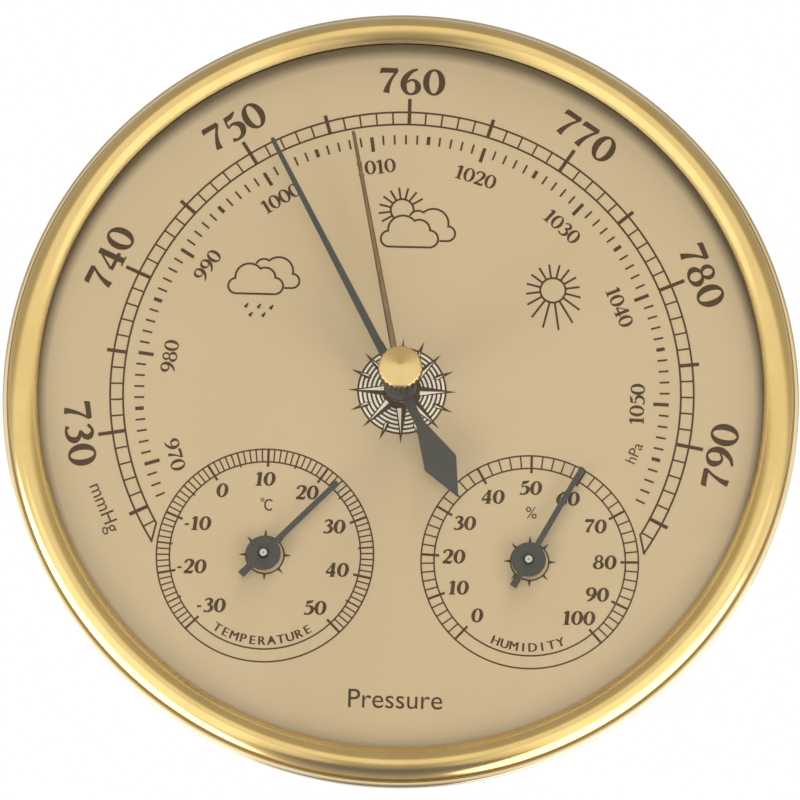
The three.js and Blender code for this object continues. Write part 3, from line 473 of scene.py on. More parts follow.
def mixed(tree, factor, shader, other):
    """One shader where the factor is 0 and another where it is 1."""
    node = add_node(tree, "MixShader")
    for value, socket in zip((factor, shader, other), node.inputs):
        tree.links.new(value, socket)
    return node.outputs["Shader"]


def either_ray(tree, one, other):
    """1 for rays of two kinds, by their names on the Light Path node."""
    rays = add_node(tree, "LightPath").outputs
    return calculated(tree, "Math", "MAXIMUM", rays[one], rays[other]).outputs["Value"]


def new_material(name, **settings):
    """Material with one Principled shader; settings name its sockets with _ for a blank."""
    material = bpy.data.materials.new(name)
    material.use_nodes = True
    tree = material.node_tree
    for socket, value in settings.items():
        tree.nodes["Principled BSDF"].inputs[socket.replace("_", " ")].default_value = value
    return material, tree


def coordinates(tree, stretch=(1, 1, 1)):
    """Object coordinates, stretched."""
    place = add_node(tree, "TexCoord").outputs["Object"]
    return add_node(tree, "Mapping", Vector=place, Scale=stretch).outputs["Vector"]


def noise(tree, vector, grain, detail=3):
    """Noise whose grains are about that many millimetres across."""
    return add_node(tree, "TexNoise", Vector=vector, Scale=1 / (grain * MM), Detail=detail).outputs["Fac"]


def distance_from_axis(tree, axis=(0, 0)):
    """Distance from a turning axis, for marks that run round it."""
    place = add_node(tree, "TexCoord").outputs["Object"]
    middle = (axis[0] * MM, 0, axis[1] * MM)
    offset = calculated(tree, "VectorMath", "SUBTRACT", place, middle).outputs["Vector"]
    flat = calculated(tree, "VectorMath", "MULTIPLY", offset, (1, 0, 1)).outputs["Vector"]
    return calculated(tree, "VectorMath", "LENGTH", flat).outputs["Value"]


def ramp(tree, factor, stops):
    """Colour by a factor, from two or more (factor, colour) stops."""
    node = add_node(tree, "ValToRGB", Fac=factor)
    elements = node.color_ramp.elements
    for i, (place, colour) in enumerate(stops):
        element = elements[i] if i < len(elements) else elements.new(place)
        element.position = place
        element.color = (*colour, 1)
    return node.outputs["Color"]


def two_shades(tree, factor, dark, light, low=0.35, high=0.65):
    """Colour between two shades by a factor."""
    return ramp(tree, factor, [(low, dark), (high, light)])


def by_distance(tree, axis, stops):
    """Colour by the distance from an axis, from (millimetres, colour) stops."""
    first, last = stops[0][0], stops[-1][0]
    distance = distance_from_axis(tree, axis)
    span = add_node(tree, "MapRange", Value=distance, From_Min=first * MM, From_Max=last * MM)
    places = [((reach - first) / (last - first), colour) for reach, colour in stops]
    return ramp(tree, span.outputs["Result"], places)


def product(tree, one, other):
    """Two colours multiplied."""
    return calculated(tree, "VectorMath", "MULTIPLY", one, other).outputs["Vector"]


def brighter(tree, one, other):
    """The larger of two colours, channel by channel."""
    return calculated(tree, "VectorMath", "MAXIMUM", one, other).outputs["Vector"]


def finished(material, shades, grain, roughness, depth=0):
    """The material with its colour, and with a roughness and a relief that follow its grain."""
    tree = material.node_tree
    shader = tree.nodes["Principled BSDF"]
    smooth, rough = roughness
    spread = add_node(tree, "MapRange", Value=grain, To_Min=smooth, To_Max=rough)
    tree.links.new(shades, shader.inputs["Base Color"])
    tree.links.new(spread.outputs["Result"], shader.inputs["Roughness"])
    if depth:
        relief = add_node(tree, "Bump", Height=grain, Strength=1, Distance=depth * MM)
        tree.links.new(relief.outputs["Normal"], shader.inputs["Normal"])
    return material


WHITE = (1, 1, 1)
METAL_SPREAD = (0.8, 1.3)  # least and most of a roughness, as parts of it
PAINT_SPREAD = (0.85, 1.15)
# radii on a pin's end: painted shade in the hollow middle, full brightness from PIN_BRIGHT to PIN_EDGE,
# painted shade darkest at PIN_RIM
PIN_HOLLOW = 0.12
PIN_BRIGHT = 0.24
PIN_EDGE = 0.5
PIN_RIM = 0.64


def bezel_gold():
    """Gold with fine turning lines, with painted shade at its inner edge and in the groove, and a painted
    highlight that makes the rim paler.
    """
    material, tree = new_material("gold_anodised", Metallic=1)
    lines = noise(tree, distance_from_axis(tree), grain=0.09, detail=2)
    cloud = noise(tree, coordinates(tree), grain=9)
    gold = two_shades(tree, cloud, (0.80, 0.57, 0.22), (0.85, 0.62, 0.25))
    # painted shade: greyer along the inner edge and darker in the groove; painted highlight: paler on the rim
    painted_shade, painted_groove_shade, painted_rim_highlight = (0.86, 0.92, 1.15), (0.62, 0.62, 0.62), (1, 1.14, 1.7)
    groove_side = CROWN_OUTSIDE + GROOVE_WIDTH
    painted_shade_and_highlight = by_distance(tree, (0, 0), [
        (OPENING_RADIUS, painted_shade), (OPENING_RADIUS + PAINTED_EDGE_SHADE_WIDTH, WHITE),
        (CROWN_OUTSIDE - GROOVE_WIDTH, WHITE), (CROWN_OUTSIDE, painted_groove_shade), (groove_side, painted_groove_shade),
        (groove_side + GROOVE_WIDTH, painted_rim_highlight),
    ])
    return finished(material, product(tree, gold, painted_shade_and_highlight), lines, roughness=(0.14, 0.21), depth=0.0003)


def knob_brass():
    """Turned brass on the knob's face, with painted shade that darkens its side."""
    material, tree = new_material("knob_brass", Metallic=1)
    lines = noise(tree, distance_from_axis(tree), grain=0.12, detail=2)
    place = add_node(tree, "SeparateXYZ", Vector=add_node(tree, "TexCoord").outputs["Object"])
    front = heights("setting_knob")[1] - KNOB_CONE_RISE
    height = add_node(
        tree, "MapRange", Value=place.outputs["Y"],
        From_Min=DIAL_FRONT - (front - KNOB_BRIGHT) * MM, From_Max=DIAL_FRONT - front * MM,
    )
    brass = two_shades(tree, lines, (0.76, 0.54, 0.22), (0.88, 0.66, 0.30))
    # painted shade: dark on the knob's side below its bright edge
    painted_shade = two_shades(tree, height.outputs["Result"], (0.10, 0.10, 0.11), WHITE, low=0.3, high=0.8)
    return finished(material, product(tree, brass, painted_shade), lines, roughness=(0.2, 0.32), depth=0.003)


def pin_metal(name):
    """Bright end of a small hand's arbor, with painted shade in its hollow middle and at its rim."""
    axis = centre(f"{name}_arbor")
    material, tree = new_material(f"{name}_pin", Metallic=1)
    lines = noise(tree, distance_from_axis(tree, axis), grain=0.1, detail=2)
    plated = two_shades(tree, lines, (0.62, 0.57, 0.46), (0.72, 0.67, 0.56))
    # painted shade: dull in the pin's hollow middle and dark at its rim
    painted_hollow_shade, dark = (0.55, 0.47, 0.36), (0.07, 0.07, 0.07)
    rings = by_distance(tree, axis, [
        (0, painted_hollow_shade), (PIN_HOLLOW, painted_hollow_shade), (PIN_BRIGHT, WHITE), (PIN_EDGE, WHITE), (PIN_RIM, dark),
    ])
    return finished(material, product(tree, plated, rings), lines, roughness=(0.25, 0.35), depth=0.001)


def rolled_metal(name, dark, light, roughness, grain):
    """Sheet or drawn metal with a short grain."""
    material, tree = new_material(name, Metallic=1)
    streaks = noise(tree, coordinates(tree, (1, 1, 0.12)), grain)
    spread = [roughness * part for part in METAL_SPREAD]
    return finished(material, two_shades(tree, streaks, dark, light), streaks, spread, depth=0.002)


def painted(name, dark, light, roughness, grain, depth, **settings):
    """Paint, print, plastic or rubber with a fine grain."""
    material, tree = new_material(name, **settings)
    grains = noise(tree, coordinates(tree), grain)
    spread = [roughness * part for part in PAINT_SPREAD]
    return finished(material, two_shades(tree, grains, dark, light), grains, spread, depth)


def champagne_lacquer():
    """Dial lacquer with a fine metallic grain, and a painted shadow of the bezel that darkens its edge."""
    material, tree = new_material("champagne_lacquer", Metallic=0.3, Coat_Weight=0.1)
    flakes = noise(tree, coordinates(tree), grain=0.16, detail=2)
    dark, light = (0.522, 0.386, 0.213), (0.613, 0.466, 0.273)
    lacquer = two_shades(tree, flakes, dark, light, low=0.2, high=0.8)
    # painted shadow of the bezel on the dial's edge
    edge = by_distance(tree, EDGE_SHADOW_CENTRE, [(EDGE_SHADOW_START, WHITE), (EDGE_SHADOW_END, (0.38, 0.37, 0.36))])
    return finished(material, product(tree, lacquer, edge), flakes, roughness=(0.4, 0.5), depth=0.001)


def clear_glass():
    """Polished glass with faint smears; lamp light passes straight through it."""
    material, tree = new_material("clear_glass", Transmission_Weight=1, IOR=1.25)
    smears = noise(tree, coordinates(tree, (1, 1, 0.4)), grain=14)
    tint = two_shades(tree, smears, (0.965, 0.975, 0.97), (0.985, 0.99, 0.985))
    finished(material, tint, smears, roughness=(0, 0.012))
    polished = tree.nodes["Principled BSDF"].outputs["BSDF"]
    clear = add_node(tree, "BsdfTransparent", Color=(0.97, 0.975, 0.97, 1)).outputs["BSDF"]
    through = either_ray(tree, "Is Shadow Ray", "Is Diffuse Ray")
    tree.links.new(mixed(tree, through, polished, clear), tree.nodes["Material Output"].inputs["Surface"])
    return material


GOLD = bezel_gold()
KNOB_BRASS = knob_brass()
BRASS = rolled_metal("brass", (0.66, 0.49, 0.21), (0.78, 0.60, 0.29), roughness=0.3, grain=0.6)
HAND_GOLD = rolled_metal("hand_gold", (0.23, 0.155, 0.073), (0.30, 0.205, 0.10), roughness=0.38, grain=0.4)
STEEL = rolled_metal("plated_steel", (0.52, 0.53, 0.54), (0.68, 0.69, 0.70), roughness=0.28, grain=0.5)
BIMETAL = rolled_metal("bimetal_strip", (0.50, 0.30, 0.17), (0.66, 0.43, 0.27), roughness=0.34, grain=0.4)
CASE_PLASTIC = painted(
    "case_plastic", (0.022, 0.022, 0.024), (0.034, 0.034, 0.037), roughness=0.5, grain=0.35, depth=0.012)
RUBBER = painted(
    "seal_rubber", (0.018, 0.018, 0.018), (0.03, 0.03, 0.03), roughness=0.75, grain=0.5, depth=0.01)
NYLON = painted("nylon", (0.045, 0.045, 0.046), (0.06, 0.06, 0.061), roughness=0.5, grain=0.6, depth=0.002)
STRIP = painted(
    "humidity_strip", (0.58, 0.52, 0.34), (0.70, 0.64, 0.44), roughness=0.6, grain=0.4, depth=0.006)
HAND_PAINT = painted(
    "hand_paint", (0.050, 0.048, 0.038), (0.062, 0.060, 0.048), roughness=0.45, grain=0.25, depth=0.0004,
    Specular_IOR_Level=0.25)
INK = painted(
    "dial_ink", (0.058, 0.032, 0.012), (0.076, 0.044, 0.018), roughness=0.7, grain=0.2, depth=0.0005,
    Specular_IOR_Level=0.1)
ROSE_FILL = painted(
    "rose_fill", (0.72, 0.64, 0.50), (0.80, 0.72, 0.58), roughness=0.5, grain=0.2, depth=0.0005)
CHAMPAGNE = champagne_lacquer()
GLASS = clear_glass()

SLOT_MATERIALS = {
    "gold_bezel": GOLD, "brass": BRASS, "steel": STEEL, "bimetal": BIMETAL, "case_plastic": CASE_PLASTIC,
    "rubber": RUBBER, "nylon": NYLON, "glass": GLASS, "dial": CHAMPAGNE, "hand_black": HAND_PAINT,
    "humidity_strip": STRIP,
}


def dress_frame():
    """Gives every CAD node the material of its slot, and the small hands' arbors their own."""
    for row in frame["record"]["subparts"]:
        node = frame["nodes"][row["node"]]
        node.data.materials.clear()
        node.data.materials.append(SLOT_MATERIALS[row["material_slot"]])
    for name in SMALL_DIALS:
        frame["nodes"][f"{name}_arbor"].data.materials[0] = pin_metal(name)


# Glass and bezel

def dome_centre_through(reach, height, edge):
    """Height of the centre of a sphere through the glass's edge and a point."""
    squares = reach ** 2 + height ** 2 - GLASS_RADIUS ** 2 - edge ** 2
    return squares / (2 * (height - edge))


GLASS_EDGE = heights("lens")[0]
DOME_CENTRE = max(
    dome_centre_through(SET_REACH, heights("set_hand")[1] + HAND_CLEARANCE, GLASS_EDGE),
    dome_centre_through(PRESSURE_REACH, heights("pressure_hand")[1] + HAND_CLEARANCE, GLASS_EDGE),
)
DOME_RADIUS = math.hypot(GLASS_RADIUS, GLASS_EDGE - DOME_CENTRE)


def dome_inside(radius):
    return DOME_CENTRE + math.sqrt(DOME_RADIUS ** 2 - radius ** 2)


def dome_outside(radius):
    return DOME_CENTRE + math.sqrt((DOME_RADIUS + GLASS_THICKNESS) ** 2 - radius ** 2)


def make_lens():
    radii = [GLASS_BORE + (GLASS_RADIUS - GLASS_BORE) * i / DOME_STEPS for i in range(DOME_STEPS + 1)]
    inside = [(radius, dome_inside(radius)) for radius in radii]
    outside = [(radius, dome_outside(radius)) for radius in reversed(radii)]
    lens = new_object("domed_glass", turned(inside + outside))
    dress(lens, GLASS, "case", ["lens"])


def arc_points(middle, half_width, height, first, last, steps):
    """Points of an ellipse's arc, by angle from its right end."""
    points = []
    for i in range(steps + 1):
        angle = math.radians(first + (last - first) * i / steps)
        points.append((middle[0] + half_width * math.cos(angle), middle[1] + height * math.sin(angle)))
    return points


def bezel_section():
    """A rounded rim at the back, a groove, a half-round and a lip that holds the glass."""
    rim_back, crown_top = heights("bezel")
    rim_top = rim_back + BEZEL_RIM_HEIGHT
    lip_low = dome_outside(OPENING_RADIUS) + LOOSE_GAP
    lip_top = lip_low + LIP_THICKNESS
    groove_side = CROWN_OUTSIDE + GROOVE_WIDTH
    groove_floor = rim_top - GROOVE_DEPTH
    glass_pocket = GLASS_RADIUS + LOOSE_GAP
    seat = GLASS_EDGE - GLASS_SEAT_DROP + SEAT_GAP
    middle = (CROWN_OUTSIDE + OPENING_RADIUS) / 2
    half = (CROWN_OUTSIDE - OPENING_RADIUS) / 2
    rim_middle = (BEZEL_RADIUS - RIM_ROUND, rim_top - RIM_ROUND)
    rim = arc_points(rim_middle, RIM_ROUND, RIM_ROUND, 0, 90, FILLET_STEPS)
    outer_round = arc_points((middle, groove_floor), half, crown_top - groove_floor, 0, 90, CROWN_STEPS)
    inner_end = math.radians(INNER_ROUND_END)
    inner_half = half / -math.cos(inner_end)
    inner_height = (crown_top - lip_top) / (1 - math.sin(inner_end))
    inner_middle = (middle, crown_top - inner_height)
    inner_round = arc_points(inner_middle, inner_half, inner_height, 90, INNER_ROUND_END, CROWN_STEPS)
    return [
        (SKIRT_INSIDE, rim_back), (BEZEL_RADIUS, rim_back), *rim, (groove_side, rim_top),
        (groove_side, groove_floor), *outer_round, *inner_round[1:], (OPENING_RADIUS, lip_low),
        (glass_pocket, dome_outside(glass_pocket) + LOOSE_GAP), (glass_pocket, seat), (SKIRT_INSIDE, seat),
    ]


def make_bezel():
    bezel = new_object("turned_bezel", turned(filleted(bezel_section(), BEZEL_EDGE)))
    dress(bezel, GOLD, "case", ["bezel"])


# Case

def tube(radius, low, high, axis):
    """Cylinder that is cut from a piece or joined to it."""
    outline = [(0, low), (radius, low), (radius, high), (0, high)]
    return new_object("cutter", turned(outline, PIN_FACETS, axis, looped=False))


def long_hole(start, end, width, low, high):
    """Bar with round ends that is cut from a piece."""
    half = width / 2
    flat = region([bar(start, end, width), circle(*start, half), circle(*end, half)])
    return new_object("cutter", raised(flat, low, high))


def case_shell(back):
    """A pot with a rim for the bezel and steps for the glass and the dial."""
    rim_back = heights("bezel")[0]
    seat = GLASS_EDGE - GLASS_SEAT_DROP
    shelf = heights("dial_plate")[0] - SHELF_DROP
    floor = back + CASE_FLOOR
    corner_middle = (CASE_RADIUS - CASE_CORNER, back + CASE_CORNER)
    corner = arc_points(corner_middle, CASE_CORNER, CASE_CORNER, -90, 0, CORNER_STEPS)
    outline = [
        (0, back), *corner, (CASE_RADIUS, rim_back), (RIM_RADIUS, rim_back), (RIM_RADIUS, seat),
        (SHELF_RADIUS, seat), (SHELF_RADIUS, shelf), (CASE_INSIDE, shelf), (CASE_INSIDE, floor), (0, floor),
    ]
    return turned(outline, RIM_FACETS, looped=False)


def keyhole(below, above):
    """Round hole with a slot above it, to hang the case on a screw."""
    slot_end = KEYHOLE_HEIGHT + KEYHOLE_SLOT_REACH - KEYHOLE_SLOT_WIDTH / 2
    return [
        tube(KEYHOLE_RADIUS, below, above, (0, KEYHOLE_HEIGHT)),
        long_hole((0, KEYHOLE_HEIGHT), (0, slot_end), KEYHOLE_SLOT_WIDTH, below, above),
    ]


def vents(below, above):
    """Upright slots behind the two small dials."""
    half = (VENT_LENGTH - VENT_WIDTH) / 2
    slots = []
    for name in SMALL_DIALS:
        u, v = centre(f"{name}_arbor")
        middle = v - VENT_DROP
        for i in range(VENT_COUNT):
            x = u + (i - (VENT_COUNT - 1) / 2) * VENT_PITCH
            slots.append(long_hole((x, middle - half), (x, middle + half), VENT_WIDTH, below, above))
    return slots


def make_case():
    back = heights("rear_case")[0]
    floor = back + CASE_FLOOR
    boss_top = floor + BOSS_HEIGHT
    below = back - OVERCUT
    above = floor + OVERCUT
    case = new_object("moulded_case", case_shell(back))
    screws = [centre(node) for node in SCREW_NODES]
    combine(case, [tube(BOSS_RADIUS, floor - CASE_FLOOR / 2, boss_top, place) for place in screws], "UNION")
    cutters = []
    for place in screws:
        cutters.append(tube(SCREW_RECESS_RADIUS, below, back + SCREW_RECESS_DEPTH, place))
        cutters.append(tube(SCREW_HOLE_RADIUS, below, boss_top + OVERCUT, place))
    cutters.append(tube(ADJUSTER_HOLE_RADIUS, below, above, centre("adjusting_screw")))
    combine(case, [*cutters, *keyhole(below, above), *vents(below, above)], "DIFFERENCE")
    dress(case, CASE_PLASTIC, "case", ["rear_case"])
    soften(case, CASE_EDGE)


# Dial print: marks

PRINT_SHIFT = 0.2  # to the right of the middle of the dial
PRINT_MARGIN = 0.4  # of bare dial round its middle hole
INK_LOW = -0.01
INK_TOP = 0.015
FILL_TOP = 0.008

# The ring of cells; ticks are (from, to, width) along a radius
SCALE_OUTER = 46.98
SCALE_INNER = 44.9
SCALE_OUTER_END = 123.4
SCALE_INNER_END = 120.3
SCALE_LINE = 0.32
MMHG_AT_TOP = 760
MMHG_TICKS = range(724, 797)
DEGREES_PER_MMHG = 3.33
MMHG_TEN = (SCALE_INNER - SCALE_LINE / 2, 49.3, 0.6)
MMHG_FIVE = (SCALE_INNER - SCALE_LINE / 2, 48.1, 0.6)
MMHG_ONE = (SCALE_INNER, SCALE_OUTER, 0.28)
HPA_AT_TOP = 1013.25
HPA_TICKS = range(967, 1060)
DEGREES_PER_HPA = 2.494
HPA_TEN = (40.5, 43.0, 0.58)
HPA_FIVE = (41.6, 43.0, 0.6)
HPA_ONE = (41.5, 43.1, 0.32)

# Small dials
SMALL_OUTER = 17.33
SMALL_INNER = 15.26
SMALL_LINE = 0.26
SMALL_TEN = (14.45, SMALL_OUTER, 0.4)
SMALL_FIVE = (14.85, SMALL_OUTER, 0.28)
SMALL_ONE = (SMALL_INNER, SMALL_OUTER, 0.24)
HUB_RING = 3.05
HUB_LINE = 0.24
HUB_SPIKES = 8
HUB_SPIKE_REACH = 1.1
HUB_SPIKE_ROOT = 0.5
HUB_SPIKE_TIP = 0.06
CELSIUS_AT_TOP = 10
CELSIUS_TICKS = range(-30, 51)
DEGREES_PER_CELSIUS = 3.375
HUMIDITY_READINGS = (-138, -112, -87.5, -60, -29.9, 0, 29.9, 60, 89, 115, 138)
HUMIDITY_CELLS = 5  # cells of 2 % between two numbers


def scale_ticks(values, at_top, spacing, ten, five, one):
    """Ticks of an even scale: one size for the tens, one for the fives and one for the rest."""
    ticks = []
    for value in values:
        size = ten if value % 10 == 0 else five if value % 5 == 0 else one
        ticks.append(tick(size, (value - at_top) * spacing))
    return ticks


def humidity_ticks():
    """Ticks of the uneven humidity scale."""
    ticks = [tick(SMALL_TEN, degrees) for degrees in HUMIDITY_READINGS]
    for first, second in zip(HUMIDITY_READINGS, HUMIDITY_READINGS[1:]):
        for i in range(1, HUMIDITY_CELLS):
            ticks.append(tick(SMALL_ONE, first + (second - first) * i / HUMIDITY_CELLS))
    return ticks


def pressure_marks():
    """The ring of cells for mmHg with the hPa ticks inside it."""
    half = SCALE_LINE / 2
    inks = arc_band(SCALE_OUTER - half, SCALE_OUTER + half, -SCALE_OUTER_END, SCALE_OUTER_END)
    inks += arc_band(SCALE_INNER - half, SCALE_INNER + half, -SCALE_INNER_END, SCALE_INNER_END)
    for side in (-1, 1):
        inner = reading(SCALE_INNER - half, side * SCALE_INNER_END)
        inks.append(bar(inner, reading(SCALE_OUTER + half, side * SCALE_OUTER_END), SCALE_LINE))
    inks += scale_ticks(MMHG_TICKS, MMHG_AT_TOP, DEGREES_PER_MMHG, MMHG_TEN, MMHG_FIVE, MMHG_ONE)
    inks += scale_ticks(HPA_TICKS, HPA_AT_TOP, DEGREES_PER_HPA, HPA_TEN, HPA_FIVE, HPA_ONE)
    return region(inks)


def small_marks(ticks):
    """Two rings with ticks between them, and a spiked ring round the hub."""
    inks = ring(SMALL_OUTER, SMALL_LINE, SMALL_RING_STEP) + ring(SMALL_INNER, SMALL_LINE, SMALL_RING_STEP)
    inks += ticks + ring(HUB_RING, HUB_LINE, TINY_RING_STEP)
    for i in range(HUB_SPIKES):
        degrees = 360 * i / HUB_SPIKES
        tip = reading(HUB_RING + HUB_SPIKE_REACH, degrees)
        inks.append(bar(reading(HUB_RING, degrees), tip, HUB_SPIKE_ROOT, HUB_SPIKE_TIP))
    return region(inks)


# Dial print: numbers, as pen strokes of (x, y, width) on a digit one unit high

STROKES = {
    "1": [[(0.30, 0.97, 0.19), (0.30, 0.03, 0.19)], [(0.05, 0.80, 0.07), (0.30, 0.95, 0.11)],
          [(0.08, 0.03, 0.06), (0.52, 0.03, 0.06)]],
    "2": [[(0.10, 0.72, 0.14), (0.14, 0.88, 0.10), (0.36, 0.96, 0.09), (0.56, 0.85, 0.17),
           (0.58, 0.68, 0.19), (0.44, 0.42, 0.13), (0.22, 0.18, 0.08), (0.08, 0.07, 0.07)],
          [(0.06, 0.08, 0.14), (0.35, 0.09, 0.16), (0.58, 0.07, 0.13), (0.66, 0.22, 0.05)]],
    "3": [[(0.10, 0.82, 0.10), (0.32, 0.955, 0.09), (0.53, 0.84, 0.17), (0.50, 0.66, 0.15),
           (0.28, 0.54, 0.07)],
          [(0.28, 0.54, 0.07), (0.52, 0.46, 0.13), (0.60, 0.29, 0.19), (0.48, 0.10, 0.13),
           (0.24, 0.04, 0.08), (0.08, 0.12, 0.13)]],
    "4": [[(0.50, 0.97, 0.06), (0.05, 0.32, 0.07)], [(0.03, 0.29, 0.11), (0.70, 0.29, 0.11)],
          [(0.50, 0.99, 0.18), (0.50, 0.02, 0.18)], [(0.30, 0.025, 0.05), (0.68, 0.025, 0.05)]],
    "5": [[(0.18, 0.88, 0.15), (0.40, 0.90, 0.15), (0.62, 1.0, 0.05)],
          [(0.20, 0.95, 0.07), (0.15, 0.55, 0.06)],
          [(0.15, 0.55, 0.05), (0.35, 0.62, 0.08), (0.56, 0.50, 0.17), (0.60, 0.32, 0.19),
           (0.48, 0.11, 0.13), (0.25, 0.035, 0.08), (0.07, 0.10, 0.13)]],
    "6": [[(0.60, 0.97, 0.06), (0.36, 0.86, 0.12), (0.16, 0.62, 0.18), (0.11, 0.36, 0.19),
           (0.20, 0.12, 0.12), (0.38, 0.035, 0.07), (0.58, 0.14, 0.14), (0.63, 0.32, 0.18),
           (0.55, 0.50, 0.12), (0.40, 0.57, 0.07), (0.22, 0.47, 0.06)]],
    "7": [[(0.05, 0.78, 0.05), (0.08, 0.96, 0.07)], [(0.07, 0.90, 0.16), (0.66, 0.90, 0.15)],
          [(0.66, 0.92, 0.07), (0.45, 0.60, 0.09), (0.32, 0.30, 0.14), (0.27, 0.06, 0.20)]],
    "-": [[(0.04, 0.40, 0.10), (0.34, 0.40, 0.10)]],
}

# Ovals are (x, y, half width, half height, width of the sides, width of the ends)
OVALS = {
    "0": [(0.38, 0.5, 0.285, 0.455, 0.19, 0.07)],
    "8": [(0.36, 0.74, 0.205, 0.215, 0.13, 0.07), (0.37, 0.28, 0.27, 0.245, 0.17, 0.07)],
}
ADVANCES = {"0": 0.76, "1": 0.56, "2": 0.72, "3": 0.70, "4": 0.74, "5": 0.70, "6": 0.74, "7": 0.70, "8": 0.74,
            "9": 0.74, "-": 0.42}
SPREAD = 1.1  # of the digits along a number


def smooth_path(points):
    """Catmull-Rom curve through the points."""
    if len(points) == 2:
        return [Vector(point) for point in points]
    knots = [Vector(point) for point in [points[0], *points, points[-1]]]
    path = []
    for a, b, c, d in zip(knots, knots[1:], knots[2:], knots[3:]):
        for i in range(CURVE_STEPS):
            t = i / CURVE_STEPS
            path.append(0.5 * (2 * b + (c - a) * t + (2 * a - 5 * b + 4 * c - d) * t ** 2
                               + (3 * b - a - 3 * c + d) * t ** 3))
    path.append(knots[-1])
    return path


def stroke(points, weight):
    """Quads along a pen stroke that share their cross edges."""
    path = smooth_path(points)
    sides = []
    for i, point in enumerate(path):
        ahead = path[min(i + 1, len(path) - 1)] - path[max(i - 1, 0)]
        across = Vector((-ahead.y, ahead.x)).normalized() * point.z * weight / 2
        sides.append((point.xy + across, point.xy - across))
    return [
        [tuple(left), tuple(right), tuple(next_right), tuple(next_left)]
        for (left, right), (next_left, next_right) in zip(sides, sides[1:])
    ]


def oval(x, y, half_width, half_height, thick, thin):
    """Outer and inner outline of a round stroke that is thick at its sides."""
    outer = []
    inner = []
    for i in range(OVAL_FACETS):
        across, along = reading(1, 360 * i / OVAL_FACETS)
        outer.append((x + (half_width + thick / 2) * across, y + (half_height + thin / 2) * along))
        inner.append((x + (half_width - thick / 2) * across, y + (half_height - thin / 2) * along))
    return outer, inner


def digit(sign, weight):
    """Region of one digit, one unit high, standing on the base line at its left edge."""
    if sign == "9":
        return placed(digit("6", weight), ADVANCES["6"], 1, 180)
    if sign in OVALS:
        outlines = [oval(*numbers[:4], *(weight * width for width in numbers[4:])) for numbers in OVALS[sign]]
        return region([outer for outer, inner in outlines], [inner for outer, inner in outlines])
    return region([quad for points in STROKES[sign] for quad in stroke(points, weight)])


def digit_set(weight):
    """All the digits, with pen strokes of that weight."""
    return {sign: digit(sign, weight) for sign in ADVANCES}


REGULAR = digit_set(1.15)
BOLD = digit_set(1.2)
HEAVY = digit_set(1.4)


def slanted(flat, slant):
    """A region leaning to the right."""
    points, triangles = flat
    return [(x + y * slant, y) for x, y in points], triangles


def number(text, height, u, v, degrees, digits, slant=0, spread=SPREAD):
    """A number centred on a point, turned clockwise."""
    width = sum(ADVANCES[sign] for sign in text) * spread
    x = -width / 2
    signs = []
    for sign in text:
        signs.append(placed(digits[sign], x, -0.5))
        x += ADVANCES[sign] * spread
    return placed(slanted(together(signs), slant), u, v, degrees, height)


MMHG_NUMBERS = range(730, 791, 10)
MMHG_NUMBER_RADIUS = 52.25
MMHG_NUMBER_HEIGHT = 4.6
HPA_NUMBERS = range(970, 1051, 10)
HPA_NUMBER_RADIUS = 37.9
HPA_NUMBER_HEIGHT = 2.4
HPA_SPREAD = 1.02
MMHG_LEAD = 0.47  # degrees that the numbers are past their marks
HPA_LEAD = 0.2
CELSIUS_NUMBER_RADIUS = 12.2
CELSIUS_NUMBER_SHIFT = (-0.3, 0.25)
HUMIDITY_NUMBER_RADIUS = 12.05
SMALL_NUMBER_HEIGHT = 2.3
SMALL_NUMBER_SLANT = 0.1
MINUS_SHIFT = 0.7  # of a number with a minus sign, to the right
TURN_OVER = 90  # past this reading the numbers stand with their tops inwards


def ring_number(text, radius, height, degrees, digits, spread=SPREAD):
    """A number at a reading, with its top outwards or, low on the dial, inwards."""
    facing = degrees if abs(degrees) < TURN_OVER else degrees + 180
    return number(text, height, *reading(radius, degrees), facing, digits, spread=spread)


def pressure_numbers():
    rows = []
    for value in MMHG_NUMBERS:
        degrees = (value - MMHG_AT_TOP) * DEGREES_PER_MMHG + MMHG_LEAD
        rows.append(ring_number(str(value), MMHG_NUMBER_RADIUS, MMHG_NUMBER_HEIGHT, degrees, BOLD))
    for value in HPA_NUMBERS:
        degrees = (value - HPA_AT_TOP) * DEGREES_PER_HPA + HPA_LEAD
        place = (HPA_NUMBER_RADIUS, HPA_NUMBER_HEIGHT, degrees)
        rows.append(ring_number(str(value), *place, REGULAR, HPA_SPREAD))
    return together(rows)


def small_numbers(pairs, radius):
    """Upright numbers inside a small dial's ring, from (value, reading) pairs."""
    rows = []
    for value, degrees in pairs:
        u, v = reading(radius, degrees)
        if value < 0:
            u += MINUS_SHIFT
        rows.append(number(str(value), SMALL_NUMBER_HEIGHT, u, v, 0, HEAVY, SMALL_NUMBER_SLANT))
    return together(rows)


# Dial print: words and unit signs

CAPITAL_HEIGHT = 0.69  # of the built-in font, for a size of one
WORD_SPREAD = 0.07  # added at the sides of the small words' strokes


def glyphs(text, height):
    """Region of plain lettering, centred."""
    curve = bpy.data.curves.new("lettering", "FONT")
    curve.body = text
    curve.size = 1
    source = bpy.data.objects.new("lettering", curve)
    bpy.context.scene.collection.objects.link(source)
    shown = source.evaluated_get(bpy.context.evaluated_depsgraph_get())
    mesh = bpy.data.meshes.new_from_object(shown)
    mesh.calc_loop_triangles()
    points = [vertex.co.xy for vertex in mesh.vertices]
    triangles = [tuple(triangle.vertices) for triangle in mesh.loop_triangles]
    bpy.data.objects.remove(source)
    flat = merged_region(points, triangles)
    xs = [x for x, y in flat[0]]
    middle = (min(xs) + max(xs)) / 2
    scale = height / CAPITAL_HEIGHT
    return placed(flat, -middle * scale, -height / 2, 0, scale)


